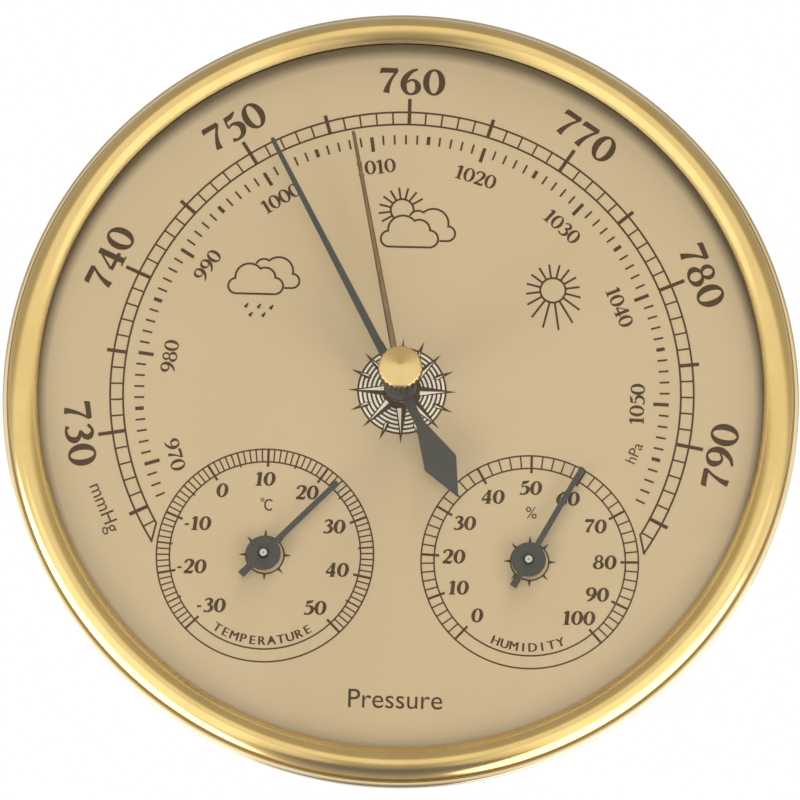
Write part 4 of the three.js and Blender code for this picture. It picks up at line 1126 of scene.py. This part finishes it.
def merged_region(points, triangles):
    """A region whose corners that fall together are one point, with its triangles anticlockwise."""
    place = {}
    corners = []
    for x, y in points:
        key = (round(x / CLOSE), round(y / CLOSE))
        if key not in place:
            place[key] = len(place)
        corners.append(place[key])
    merged = [None] * len(place)
    for index, point in zip(corners, points):
        merged[index] = tuple(point)
    kept = []
    for triangle in triangles:
        a, b, c = (corners[i] for i in triangle)
        if len({a, b, c}) == 3:
            (ax, ay), (bx, by), (cx, cy) = merged[a], merged[b], merged[c]
            left = (bx - ax) * (cy - ay) - (cx - ax) * (by - ay) > 0
            kept.append((a, b, c) if left else (a, c, b))
    return merged, kept


def bolder(flat, spread):
    """A region made wider at the sides of its strokes."""
    points, triangles = flat
    polygons = []
    for triangle in triangles:
        for side in (-spread, 0, spread):
            polygons.append([(points[i][0] + side, points[i][1]) for i in triangle])
    return region(polygons)


DEGREE_PLACE = (-0.95, 0.8)
DEGREE_RADIUS = 0.32
DEGREE_HOLE = 0.16
CELSIUS_LETTER_HEIGHT = 1.9
CELSIUS_LETTER_WIDTH = 0.74  # of the plain letter
CELSIUS_LETTER_SPREAD = 0.05


def celsius_sign():
    """A small ring and a narrow letter."""
    degree = region([circle(*DEGREE_PLACE, DEGREE_RADIUS)], [circle(*DEGREE_PLACE, DEGREE_HOLE)])
    points, triangles = bolder(glyphs("C", CELSIUS_LETTER_HEIGHT), CELSIUS_LETTER_SPREAD)
    return together([degree, ([(x * CELSIUS_LETTER_WIDTH, y) for x, y in points], triangles)])


def arc_word(text, height, radius, spacing):
    """Upright word along the bottom of a circle, letters a fixed distance apart."""
    letters = []
    for i, letter in enumerate(text):
        degrees = math.degrees((i - (len(text) - 1) / 2) * spacing / radius)
        x, y = reading(radius, 180 - degrees)
        letters.append(placed(bolder(glyphs(letter, height), WORD_SPREAD), x, y, -degrees))
    return together(letters)


# Dial print: compass rose and weather signs

ROSE_RINGS = (7.05, 6.35, 5.65, 4.95, 4.25, 3.55)
ROSE_LINE = 0.32
ROSE_POINTS = 8
ROSE_TIP = 8.8
ROSE_ROOT = 2.9
ROSE_ROOT_WIDTH = 1.7
ROSE_HEART_AND_SHADOW = 3.2  # dark ink disc in the middle: the print's heart, widened as painted shadow of the hub and knob
SPIKE_TIP = 9
SPIKE_WIDEST = 6.1
SPIKE_ROOT = 5.3
SPIKE_WIDTH = 0.9
ROSE_EDGE = 0.16
LIGHT_DROP = 1.6  # from a dark tip to the tip of its light side
LIGHT_RISE = 0.4  # from a spike's root to its light side


def spun(points, degrees):
    """Points turned clockwise round the middle."""
    return placed((points, []), 0, 0, degrees)[0]


def rose_marks():
    """Rings crossed by eight long points and eight short spikes, each dark on one side."""
    half_root = ROSE_ROOT_WIDTH / 2
    half_spike = SPIKE_WIDTH / 2
    point = [(-half_root, ROSE_ROOT), (half_root, ROSE_ROOT), (0, ROSE_TIP)]
    point_light = [(0, ROSE_ROOT), (0, ROSE_TIP - LIGHT_DROP), (half_root - ROSE_EDGE, ROSE_ROOT)]
    spike = [(0, SPIKE_ROOT), (-half_spike, SPIKE_WIDEST), (0, SPIKE_TIP), (half_spike, SPIKE_WIDEST)]
    spike_light = [
        (0, SPIKE_ROOT + LIGHT_RISE), (0, SPIKE_TIP - LIGHT_DROP), (half_spike - ROSE_EDGE, SPIKE_WIDEST),
    ]
    rings = [strip for radius in ROSE_RINGS for strip in ring(radius, ROSE_LINE, TINY_RING_STEP)]
    darks = []
    lights = []
    for i in range(ROSE_POINTS):
        degrees = 360 * i / ROSE_POINTS
        between = degrees + 180 / ROSE_POINTS
        darks += [spun(point, degrees), spun(spike, between)]
        lights += [spun(point_light, degrees), spun(spike_light, between)]
    # dark disc: the printed heart, widened as painted shadow of the hub and knob
    heart_and_shadow = circle(0, 0, ROSE_HEART_AND_SHADOW)
    hole = circle(0, 0, DIAL_CENTRE_HOLE + PRINT_MARGIN)
    return region([*rings, *darks, heart_and_shadow], [*lights, hole])


SIGN_LINE = 0.34
CLOUD_GAP = 0.05  # between the lines of two clouds
FRONT_CLOUD = ((-3.25, -0.15, 1.35), (-1.05, 1.4, 2.4), (1.6, 1.4, 1.75), (3.25, -0.05, 1.45))
BACK_CLOUD = ((1.36, 3.2, 1.47), (3.87, 2.59, 2.46), (6.18, 0.91, 1.26))
RAIN_SIGN = (-24.2, 17.03)
RAIN_SCALE = 0.955
RAIN_DROPS = ((-25.5, 13.64), (-23.45, 13.56), (-21.45, 13.44), (-24.75, 12.18), (-22.67, 12.15))
DROP_SLANT = Vector((0.25, 0.35))
DROP_WIDTH = 0.62
DROP_TIP = 0.22
CHANGING_SIGN = (0.5, 25.6)
LOW_SUN = (-0.75, 30.3)
LOW_SUN_RADIUS = 1.87
LOW_SUN_REACH = 3.85
SUN_SIGN = (24, 17.4)
SUN_RADIUS = 2.05
SUN_REACH = 4.38
SUN_LONG_RAYS = 2.35  # more than the others
SUN_LONGEST_AT = 174
SUN_RAYS = 16
FIRST_RAY = -9
LOW_SUN_RAYS = range(-5, 4)  # those that the clouds leave in sight


def cloud(discs, place, scale=1):
    """Discs of (u, v, radius) that make up a cloud, moved to a place."""
    u, v = place
    return [(u + x * scale, v + y * scale, radius * scale) for x, y, radius in discs]


def cloud_outline(discs, grow):
    """Polygons of a cloud grown by a distance: its discs and what is between and under them."""
    shapes = [circle(u, v, radius + grow, CLOUD_FACETS) for u, v, radius in discs]
    low = min(v - radius for u, v, radius in discs) - grow
    middles = [(u, v) for u, v, radius in discs]
    shapes.append([(middles[0][0], low), (middles[-1][0], low), *reversed(middles)])
    return shapes


def cloud_lines(place, scale=1):
    """Outlines of a cloud in front of another."""
    half = SIGN_LINE / 2
    front = cloud(FRONT_CLOUD, place, scale)
    back = cloud(BACK_CLOUD, place, scale)
    near = region(cloud_outline(front, half), cloud_outline(front, -half))
    hidden = cloud_outline(front, half + CLOUD_GAP)
    far = region(cloud_outline(back, half), cloud_outline(back, -half) + hidden)
    return [near, far]


def sun_lines(place, radius, readings, reach, gaps=()):
    """A circle with rays at some readings; reach gives how far each one goes out."""
    half = SIGN_LINE / 2
    inks = [circle(*place, radius + half, SUN_FACETS)]
    for degrees in readings:
        inner = Vector(place) + Vector(reading(radius, degrees))
        outer = Vector(place) + Vector(reading(reach(degrees), degrees))
        inks.append(bar(tuple(inner), tuple(outer), SIGN_LINE))
    return region(inks, [circle(*place, radius - half, SUN_FACETS), *gaps])


def rain_sign():
    """Two clouds and slanting drops."""
    drops = []
    for drop in RAIN_DROPS:
        ends = [tuple(Vector(drop) + DROP_SLANT * side) for side in (1, -1)]
        drops.append(bar(*ends, DROP_TIP, DROP_WIDTH))
    return together([*cloud_lines(RAIN_SIGN, RAIN_SCALE), region(drops)])


def changing_sign():
    """The sun behind two clouds."""
    cover = cloud_outline(cloud(FRONT_CLOUD, CHANGING_SIGN), SIGN_LINE / 2)
    cover += cloud_outline(cloud(BACK_CLOUD, CHANGING_SIGN), SIGN_LINE / 2)
    readings = [FIRST_RAY + 360 / SUN_RAYS * i for i in LOW_SUN_RAYS]
    sun = sun_lines(LOW_SUN, LOW_SUN_RADIUS, readings, lambda degrees: LOW_SUN_REACH, cover)
    return together([*cloud_lines(CHANGING_SIGN), sun])


def sun_sign():
    def reach(degrees):
        """Rays that point down are longer."""
        return SUN_REACH + SUN_LONG_RAYS * max(0, math.cos(math.radians(degrees - SUN_LONGEST_AT))) ** 2
    readings = [FIRST_RAY + 360 / SUN_RAYS * i for i in range(SUN_RAYS)]
    return sun_lines(SUN_SIGN, SUN_RADIUS, readings, reach)


# Dial with all its print

WORD_HEIGHT = 1.4
WORD_RADIUS = 13.9
LETTER_PITCH = 1.5
CELSIUS_PLACE = (0.25, 8.2)  # from the middle of its small dial
PERCENT_PLACE = (0.1, 8.0)
PERCENT_HEIGHT = 1.9
MMHG_PLACE = (-46.95, -20.5, 66)  # u, v and degrees turned
MMHG_HEIGHT = 2.2
HPA_PLACE = (37.5, -9.3, -67)
HPA_HEIGHT = 1.75
TITLE_PLACE = (0.3, -50.3)
TITLE_HEIGHT = 3


def make_dial():
    """The plate with its holes."""
    low, high = heights("dial_plate")
    holes = [circle(0, 0, DIAL_CENTRE_HOLE)]
    holes += [circle(*centre(f"{name}_arbor"), DIAL_EYELET_HOLE) for name in SMALL_DIALS]
    flat = region([circle(0, 0, DIAL_RADIUS, RIM_FACETS)], holes)
    plate = new_object("dial_disc", raised(flat, low, high))
    dress(plate, CHAMPAGNE, "case", ["dial_plate"])


def temperature_print():
    """Print of the left small dial, round its own middle."""
    pairs = [(value, (value - CELSIUS_AT_TOP) * DEGREES_PER_CELSIUS) for value in CELSIUS_TICKS[::10]]
    ticks = scale_ticks(CELSIUS_TICKS, CELSIUS_AT_TOP, DEGREES_PER_CELSIUS, SMALL_TEN, SMALL_FIVE, SMALL_ONE)
    numbers = placed(small_numbers(pairs, CELSIUS_NUMBER_RADIUS), *CELSIUS_NUMBER_SHIFT)
    word = arc_word("TEMPERATURE", WORD_HEIGHT, WORD_RADIUS, LETTER_PITCH)
    return together([small_marks(ticks), numbers, word, placed(celsius_sign(), *CELSIUS_PLACE)])


def humidity_print():
    """Print of the right small dial, round its own middle."""
    pairs = [(i * 10, degrees) for i, degrees in enumerate(HUMIDITY_READINGS)]
    numbers = small_numbers(pairs, HUMIDITY_NUMBER_RADIUS)
    word = arc_word("HUMIDITY", WORD_HEIGHT, WORD_RADIUS, LETTER_PITCH)
    percent = placed(glyphs("%", PERCENT_HEIGHT), *PERCENT_PLACE)
    return together([small_marks(humidity_ticks()), numbers, word, percent])


def make_print():
    """All the ink on the dial, and the pale ground under the rose."""
    marks = [
        pressure_marks(), pressure_numbers(), rose_marks(), rain_sign(), changing_sign(), sun_sign(),
        placed(temperature_print(), *centre("thermometer_arbor")),
        placed(humidity_print(), *centre("hygrometer_arbor")),
        placed(glyphs("mmHg", MMHG_HEIGHT), *MMHG_PLACE),
        placed(glyphs("hPa", HPA_HEIGHT), *HPA_PLACE),
        placed(glyphs("Pressure", TITLE_HEIGHT), *TITLE_PLACE),
    ]
    ink = new_object("dial_print", raised(placed(together(marks), PRINT_SHIFT), INK_LOW, INK_TOP))
    dress(ink, INK, "case")
    hole = circle(0, 0, DIAL_CENTRE_HOLE + PRINT_MARGIN)
    ground = region([circle(0, 0, ROSE_RINGS[0], ROSE_FACETS)], [hole])
    rose = new_object("rose_fill", raised(placed(ground, PRINT_SHIFT), INK_LOW, FILL_TOP))
    dress(rose, ROSE_FILL, "case")


# Hands

def blade_plate(name, flat, node, degrees, axis=(0, 0)):
    """Flat hand as thick as its CAD node, turned to a reading."""
    low, high = heights(node)
    return new_object(name, raised(placed(flat, *axis, degrees), low, high))


def make_pressure_hand():
    root = PRESSURE_ROOT_WIDTH / 2
    tip = PRESSURE_TIP_WIDTH / 2
    neck = TAIL_NECK_WIDTH / 2
    side = DIAMOND_WIDTH / 2
    shoulder = PRESSURE_REACH - tip
    blade = [(-root, 0), (root, 0), (tip, shoulder), (0, PRESSURE_REACH), (-tip, shoulder)]
    tail = [
        (neck, 0), (-neck, 0), (-neck, -TAIL_NECK_REACH), (-side, -DIAMOND_PLACE), (0, -TAIL_REACH),
        (side, -DIAMOND_PLACE), (neck, -TAIL_NECK_REACH),
    ]
    flat = region([blade, tail, circle(0, 0, PRESSURE_HUB)], [circle(0, 0, STEM_HOLE)])
    hand = blade_plate("pressure_blade", flat, "pressure_hand", PRESSURE_READING)
    dress(hand, HAND_PAINT, "pressure_pointer", ["pressure_hand"])
    soften(hand, HAND_EDGE)


def make_small_hand(name, body, degrees, reach):
    root = SMALL_ROOT_WIDTH / 2
    tip = SMALL_TIP_WIDTH / 2
    end = SMALL_TAIL_WIDTH / 2
    blade = [(-root, 0), (root, 0), (tip, reach), (-tip, reach)]
    tail = [(root, 0), (-root, 0), (-end, -SMALL_TAIL), (end, -SMALL_TAIL)]
    flat = region([blade, tail, circle(0, 0, SMALL_HUB)], [circle(0, 0, STEM_HOLE)])
    hand = blade_plate(f"{name}_blade", flat, f"{name}_hand", degrees, centre(f"{name}_arbor"))
    dress(hand, HAND_PAINT, body, [f"{name}_hand"])
    soften(hand, SMALL_HAND_EDGE)


def make_set_hand():
    """A blade with bevelled edges on a round hub."""
    low, high = heights("set_hand")
    hub = region([circle(0, 0, SET_HUB)], [circle(0, 0, SET_HOLE)])
    hub_piece = new_object("set_hub", raised(hub, low, high))
    start = SET_HOLE + LOOSE_GAP
    vertices = []
    for inset, height in ((0, low), (SET_BEVEL, high)):
        root = SET_ROOT_WIDTH / 2 - inset
        tip = SET_TIP_WIDTH / 2 - inset
        corners = [(-root, start), (root, start), (tip, SET_REACH - inset), (-tip, SET_REACH - inset)]
        vertices += [(u, v, height) for u, v in spun(corners, SET_READING)]
    count = len(corners)
    sides = [(i, (i + 1) % count, (i + 1) % count + count, i + count) for i in range(count)]
    faces = [tuple(reversed(range(count))), tuple(range(count, 2 * count)), *sides]
    hand = new_object("set_blade", (vertices, faces))
    combine(hand, [hub_piece], "UNION")
    dress(hand, HAND_GOLD, "set_pointer", ["set_hand"])


# Knob and small turned pieces

def flute(angle):
    """Radius of the knob's wavy side."""
    return KNOB_RADIUS - KNOB_FLUTE_DEPTH * (1 - math.cos(KNOB_FLUTES * angle)) / 2


def make_knob():
    """A fluted side and a face that rises to a point."""
    low, high = heights("setting_knob")
    edge = KNOB_RADIUS - KNOB_CHAMFER
    edge_top = high - KNOB_CONE_RISE
    bore_top = low + KNOB_BORE_DEPTH
    face = []
    for i in range(KNOB_FACE_RINGS + 1):
        part = i / KNOB_FACE_RINGS
        face.append((edge * (1 - part), edge_top + KNOB_CONE_RISE * part))
    outline = [
        (0, bore_top), (KNOB_BORE, bore_top), (KNOB_BORE, low), (flute, low),
        (flute, lambda angle: edge_top - flute(angle) + edge), *face,
    ]
    knob = new_object("fluted_knob", turned(outline, KNOB_FLUTES * POINTS_PER_FLUTE, looped=False))
    dress(knob, KNOB_BRASS, "set_pointer", ["setting_knob"])


def make_turned(name, node, outline, material, body, looped=True):
    """Small turned piece on its node's axis, from an outline of (radius, w) points."""
    rounded = filleted(outline, TURNED_EDGE, looped)
    piece = new_object(name, turned(rounded, PIN_FACETS, centre(node), looped))
    dress(piece, material, body, [node])


def ring_outline(node, inside, outside):
    """Section of a plain ring as high as its CAD node."""
    low, high = heights(node)
    return [(inside, low), (outside, low), (outside, high), (inside, high)]


def flanged_outline(node, bore, radius, flange_radius):
    """Section of a tube with a flange at its front."""
    low, high = heights(node)
    flange = high - FLANGE_HEIGHT
    return [
        (bore, low), (radius, low), (radius, flange), (flange_radius, flange), (flange_radius, high),
        (bore, high),
    ]


def make_spindle():
    """The setting knob's stem with its sleeve."""
    low, high = heights("setting_spindle")
    foot = heights("set_hand")[1] + SEAT_GAP
    shoulder = heights("friction_washer")[0] - SEAT_GAP
    outline = [
        (0, low), (SPINDLE_FOOT, low), (SPINDLE_FOOT, foot), (SLEEVE_RADIUS, foot), (SLEEVE_RADIUS, shoulder),
        (SPINDLE_RADIUS, shoulder), (SPINDLE_RADIUS, high), (0, high),
    ]
    make_turned("knob_spindle", "setting_spindle", outline, NYLON, "set_pointer", looped=False)


def make_centre_pieces():
    washer = ring_outline("friction_washer", KNOB_BORE, SLEEVE_RADIUS)
    make_turned("spring_washer", "friction_washer", washer, STEEL, "set_pointer")
    collet = ring_outline("pressure_hand_collet", STEM_HOLE, COLLET_RADIUS)
    make_turned("hand_boss", "pressure_hand_collet", collet, BRASS, "pressure_pointer")
    make_spindle()
    bush = flanged_outline("lens_bush", KNOB_BORE, BUSH_RADIUS, BUSH_FLANGE_RADIUS)
    make_turned("flanged_bush", "lens_bush", bush, NYLON, "case")


def make_small_dial_pieces(name, body):
    collet = ring_outline(f"{name}_hand_collet", STEM_HOLE, SMALL_COLLET_RADIUS)
    make_turned(f"{name}_boss", f"{name}_hand_collet", collet, HAND_PAINT, body)
    eyelet = flanged_outline(f"{name}_eyelet", STEM_HOLE, EYELET_RADIUS, EYELET_FLANGE_RADIUS)
    make_turned(f"{name}_rivet", f"{name}_eyelet", eyelet, BRASS, "case")


def make_screw(name, node, body, material, slot, head_radius, head_height, shank_radius):
    """Screw driven from the back, with a slotted and rounded head."""
    low, high = heights(node)
    head = low + head_height
    outline = [
        (0, low), (head_radius, low), (head_radius, head), (shank_radius, head), (shank_radius, high),
        (0, high),
    ]
    u, v = centre(node)
    rounded = filleted(outline, SCREW_EDGE, looped=False)
    screw = new_object(name, turned(rounded, PIN_FACETS, (u, v), looped=False))
    reach = head_radius + OVERCUT
    groove = region([bar((u - reach, v), (u + reach, v), SCREW_SLOT_WIDTH)])
    cutter = new_object("cutter", raised(groove, low - OVERCUT, low + head_height / 2))
    combine(screw, [cutter], "DIFFERENCE")
    dress(screw, material, body, [node])


def make_screws():
    screw = (SCREW_HEAD_RADIUS, SCREW_HEAD_HEIGHT, SCREW_SHANK_RADIUS)
    for i, node in enumerate(SCREW_NODES, 1):
        make_screw(f"case_screw_{i}", node, "case", STEEL, "steel", *screw)
    adjuster = (ADJUSTER_HEAD_RADIUS, ADJUSTER_HEAD_HEIGHT, ADJUSTER_SHANK_RADIUS)
    make_screw("altitude_screw", "adjusting_screw", "adjuster", BRASS, "brass", *adjuster)


# Stage, light and camera

FLOOR_HEIGHT = -1.3
FLOOR_REACH = 12

# Studio colours by the height of a direction, from -1 straight below to 1 straight above
LIGHT_STOPS = [(-1, (0.30, 0.30, 0.29)), (0.1, (0.48, 0.47, 0.455)), (1, (0.80, 0.78, 0.75))]

# What gloss sees: a dark ceiling that leans back, bright walls and a dark wedge below between them
CEILING_AXIS = (0, 0.206, 0.979)
CEILING_STOPS = [
    (-1, WHITE), (0.15, WHITE), (0.31, (0.53, 0.50, 0.42)), (0.5, (0.47, 0.45, 0.42)),
    (1, (0.43, 0.43, 0.47)),
]
BELOW_STOPS = [
    (-1, WHITE), (0.1, WHITE), (0.59, (0.5, 0.48, 0.47)), (0.85, (0.38, 0.37, 0.42)),
    (1, (0.19, 0.21, 0.32)),
]
WALL_AXES = ((-0.85, 0, -0.53), (0.85, 0, -0.53))
WALL_STOPS = [(-1, WHITE), (0.03, WHITE), (0.28, (0, 0, 0))]


def make_floor():
    """Pale floor; gloss sees the studio's own colours below instead."""
    corners = [(-1, -1), (1, -1), (1, 1), (-1, 1)]
    mesh = bpy.data.meshes.new("floor")
    places = [(x * FLOOR_REACH, y * FLOOR_REACH, FLOOR_HEIGHT) for x, y in corners]
    mesh.from_pydata(places, [], [(0, 1, 2, 3)])
    mesh.materials.append(
        painted("pale_floor", (0.86, 0.86, 0.85), (0.88, 0.88, 0.87), roughness=0.8, grain=30, depth=0))
    floor = bpy.data.objects.new("floor", mesh)
    bpy.context.scene.collection.objects.link(floor)
    floor.visible_glossy = False


def shade(tree, axis, stops):
    """Colour that goes by how far a direction points along an axis."""
    direction = add_node(tree, "TexCoord").outputs["Generated"]
    along = calculated(tree, "VectorMath", "DOT_PRODUCT", direction, axis).outputs["Value"]
    span = add_node(tree, "MapRange", Value=along, From_Min=-1)
    return ramp(tree, span.outputs["Result"], [((height + 1) / 2, colour) for height, colour in stops])


def background(tree, shades):
    """World shader of some colours."""
    return add_node(tree, "Background", Color=shades).outputs["Background"]


def gloss_background(tree):
    """The ceiling's colours times those of the wedge below, with the walls in front of the wedge."""
    low = shade(tree, (0, 0, -1), BELOW_STOPS)
    for axis in WALL_AXES:
        low = brighter(tree, low, shade(tree, axis, WALL_STOPS))
    return background(tree, product(tree, shade(tree, CEILING_AXIS, CEILING_STOPS), low))


def make_world():
    """White to the camera and through glass, its own colours to gloss, and soft light to the rest."""
    world = bpy.data.worlds.new("studio")
    bpy.context.scene.world = world
    world.use_nodes = True
    tree = world.node_tree
    white = tree.nodes["Background"]
    white.inputs["Color"].default_value = (*WHITE, 1)
    white.inputs["Strength"].default_value = 1
    light = background(tree, shade(tree, (0, 0, 1), LIGHT_STOPS))
    gloss_ray = add_node(tree, "LightPath").outputs["Is Glossy Ray"]
    shine = mixed(tree, gloss_ray, light, gloss_background(tree))
    seen = either_ray(tree, "Is Camera Ray", "Is Transmission Ray")
    surface = mixed(tree, seen, shine, white.outputs["Background"])
    tree.links.new(surface, tree.nodes["World Output"].inputs["Surface"])


def make_lamp(name, place, size, power, in_gloss=True):
    """Soft area lamp that faces the middle of the object; the camera never sees it."""
    lamp = bpy.data.lights.new(name, "AREA")
    lamp.shape = "DISK"
    lamp.size = size
    lamp.energy = power
    holder = bpy.data.objects.new(name, lamp)
    bpy.context.scene.collection.objects.link(holder)
    holder.location = place
    holder.rotation_euler = (-Vector(place)).to_track_quat("-Z", "Y").to_euler()
    holder.visible_camera = False
    holder.visible_glossy = in_gloss
    holder.visible_transmission = in_gloss


def make_lamps():
    sides = (("left", -1), ("right", 1))
    for side, sign in sides:
        make_lamp(f"{side}_lamp", (sign * 0.74, -0.54, -0.6), size=0.55, power=5, in_gloss=False)
    for side, sign in sides:
        make_lamp(f"{side}_glow", (sign * 0.74, -0.5, -0.62), size=1.5, power=2.2)
    make_lamp("left_rim_lamp", (-0.77, 0.61, -0.45), size=1.1, power=7)
    make_lamp("right_rim_lamp", (0.63, 0.56, -0.66), size=1.1, power=7)
    make_lamp("top_lamp", (0.3, -0.4, 1.1), size=0.5, power=9, in_gloss=False)
    make_lamp("back_lamp", (0.4, 1.3, 0.6), size=0.9, power=8, in_gloss=False)


def make_camera():
    camera = bpy.data.cameras.new("photo_camera")
    camera.lens = CAMERA_LENS
    camera.sensor_width = CAMERA_SENSOR
    camera.clip_start = CAMERA_NEAR
    holder = bpy.data.objects.new("photo_camera", camera)
    bpy.context.scene.collection.objects.link(holder)
    forward = CAMERA_FORWARD.normalized()
    right = forward.cross(CAMERA_UP).normalized()
    up = right.cross(forward)
    turn = Matrix((right, up, -forward)).transposed().to_4x4()
    holder.matrix_world = Matrix.Translation(CAMERA_PLACE) @ turn
    bpy.context.scene.camera = holder


dress_frame()
make_bezel()
make_lens()
make_case()
make_dial()
make_print()
make_pressure_hand()
make_set_hand()
make_small_hand("thermometer", "temperature_pointer", TEMPERATURE_READING, TEMPERATURE_REACH)
make_small_hand("hygrometer", "humidity_pointer", HUMIDITY_READING, HUMIDITY_REACH)
make_knob()
make_centre_pieces()
make_small_dial_pieces("thermometer", "temperature_pointer")
make_small_dial_pieces("hygrometer", "humidity_pointer")
make_screws()
make_floor()
make_world()
make_lamps()
make_camera()
bpy.context.scene.view_settings.view_transform = "Standard"
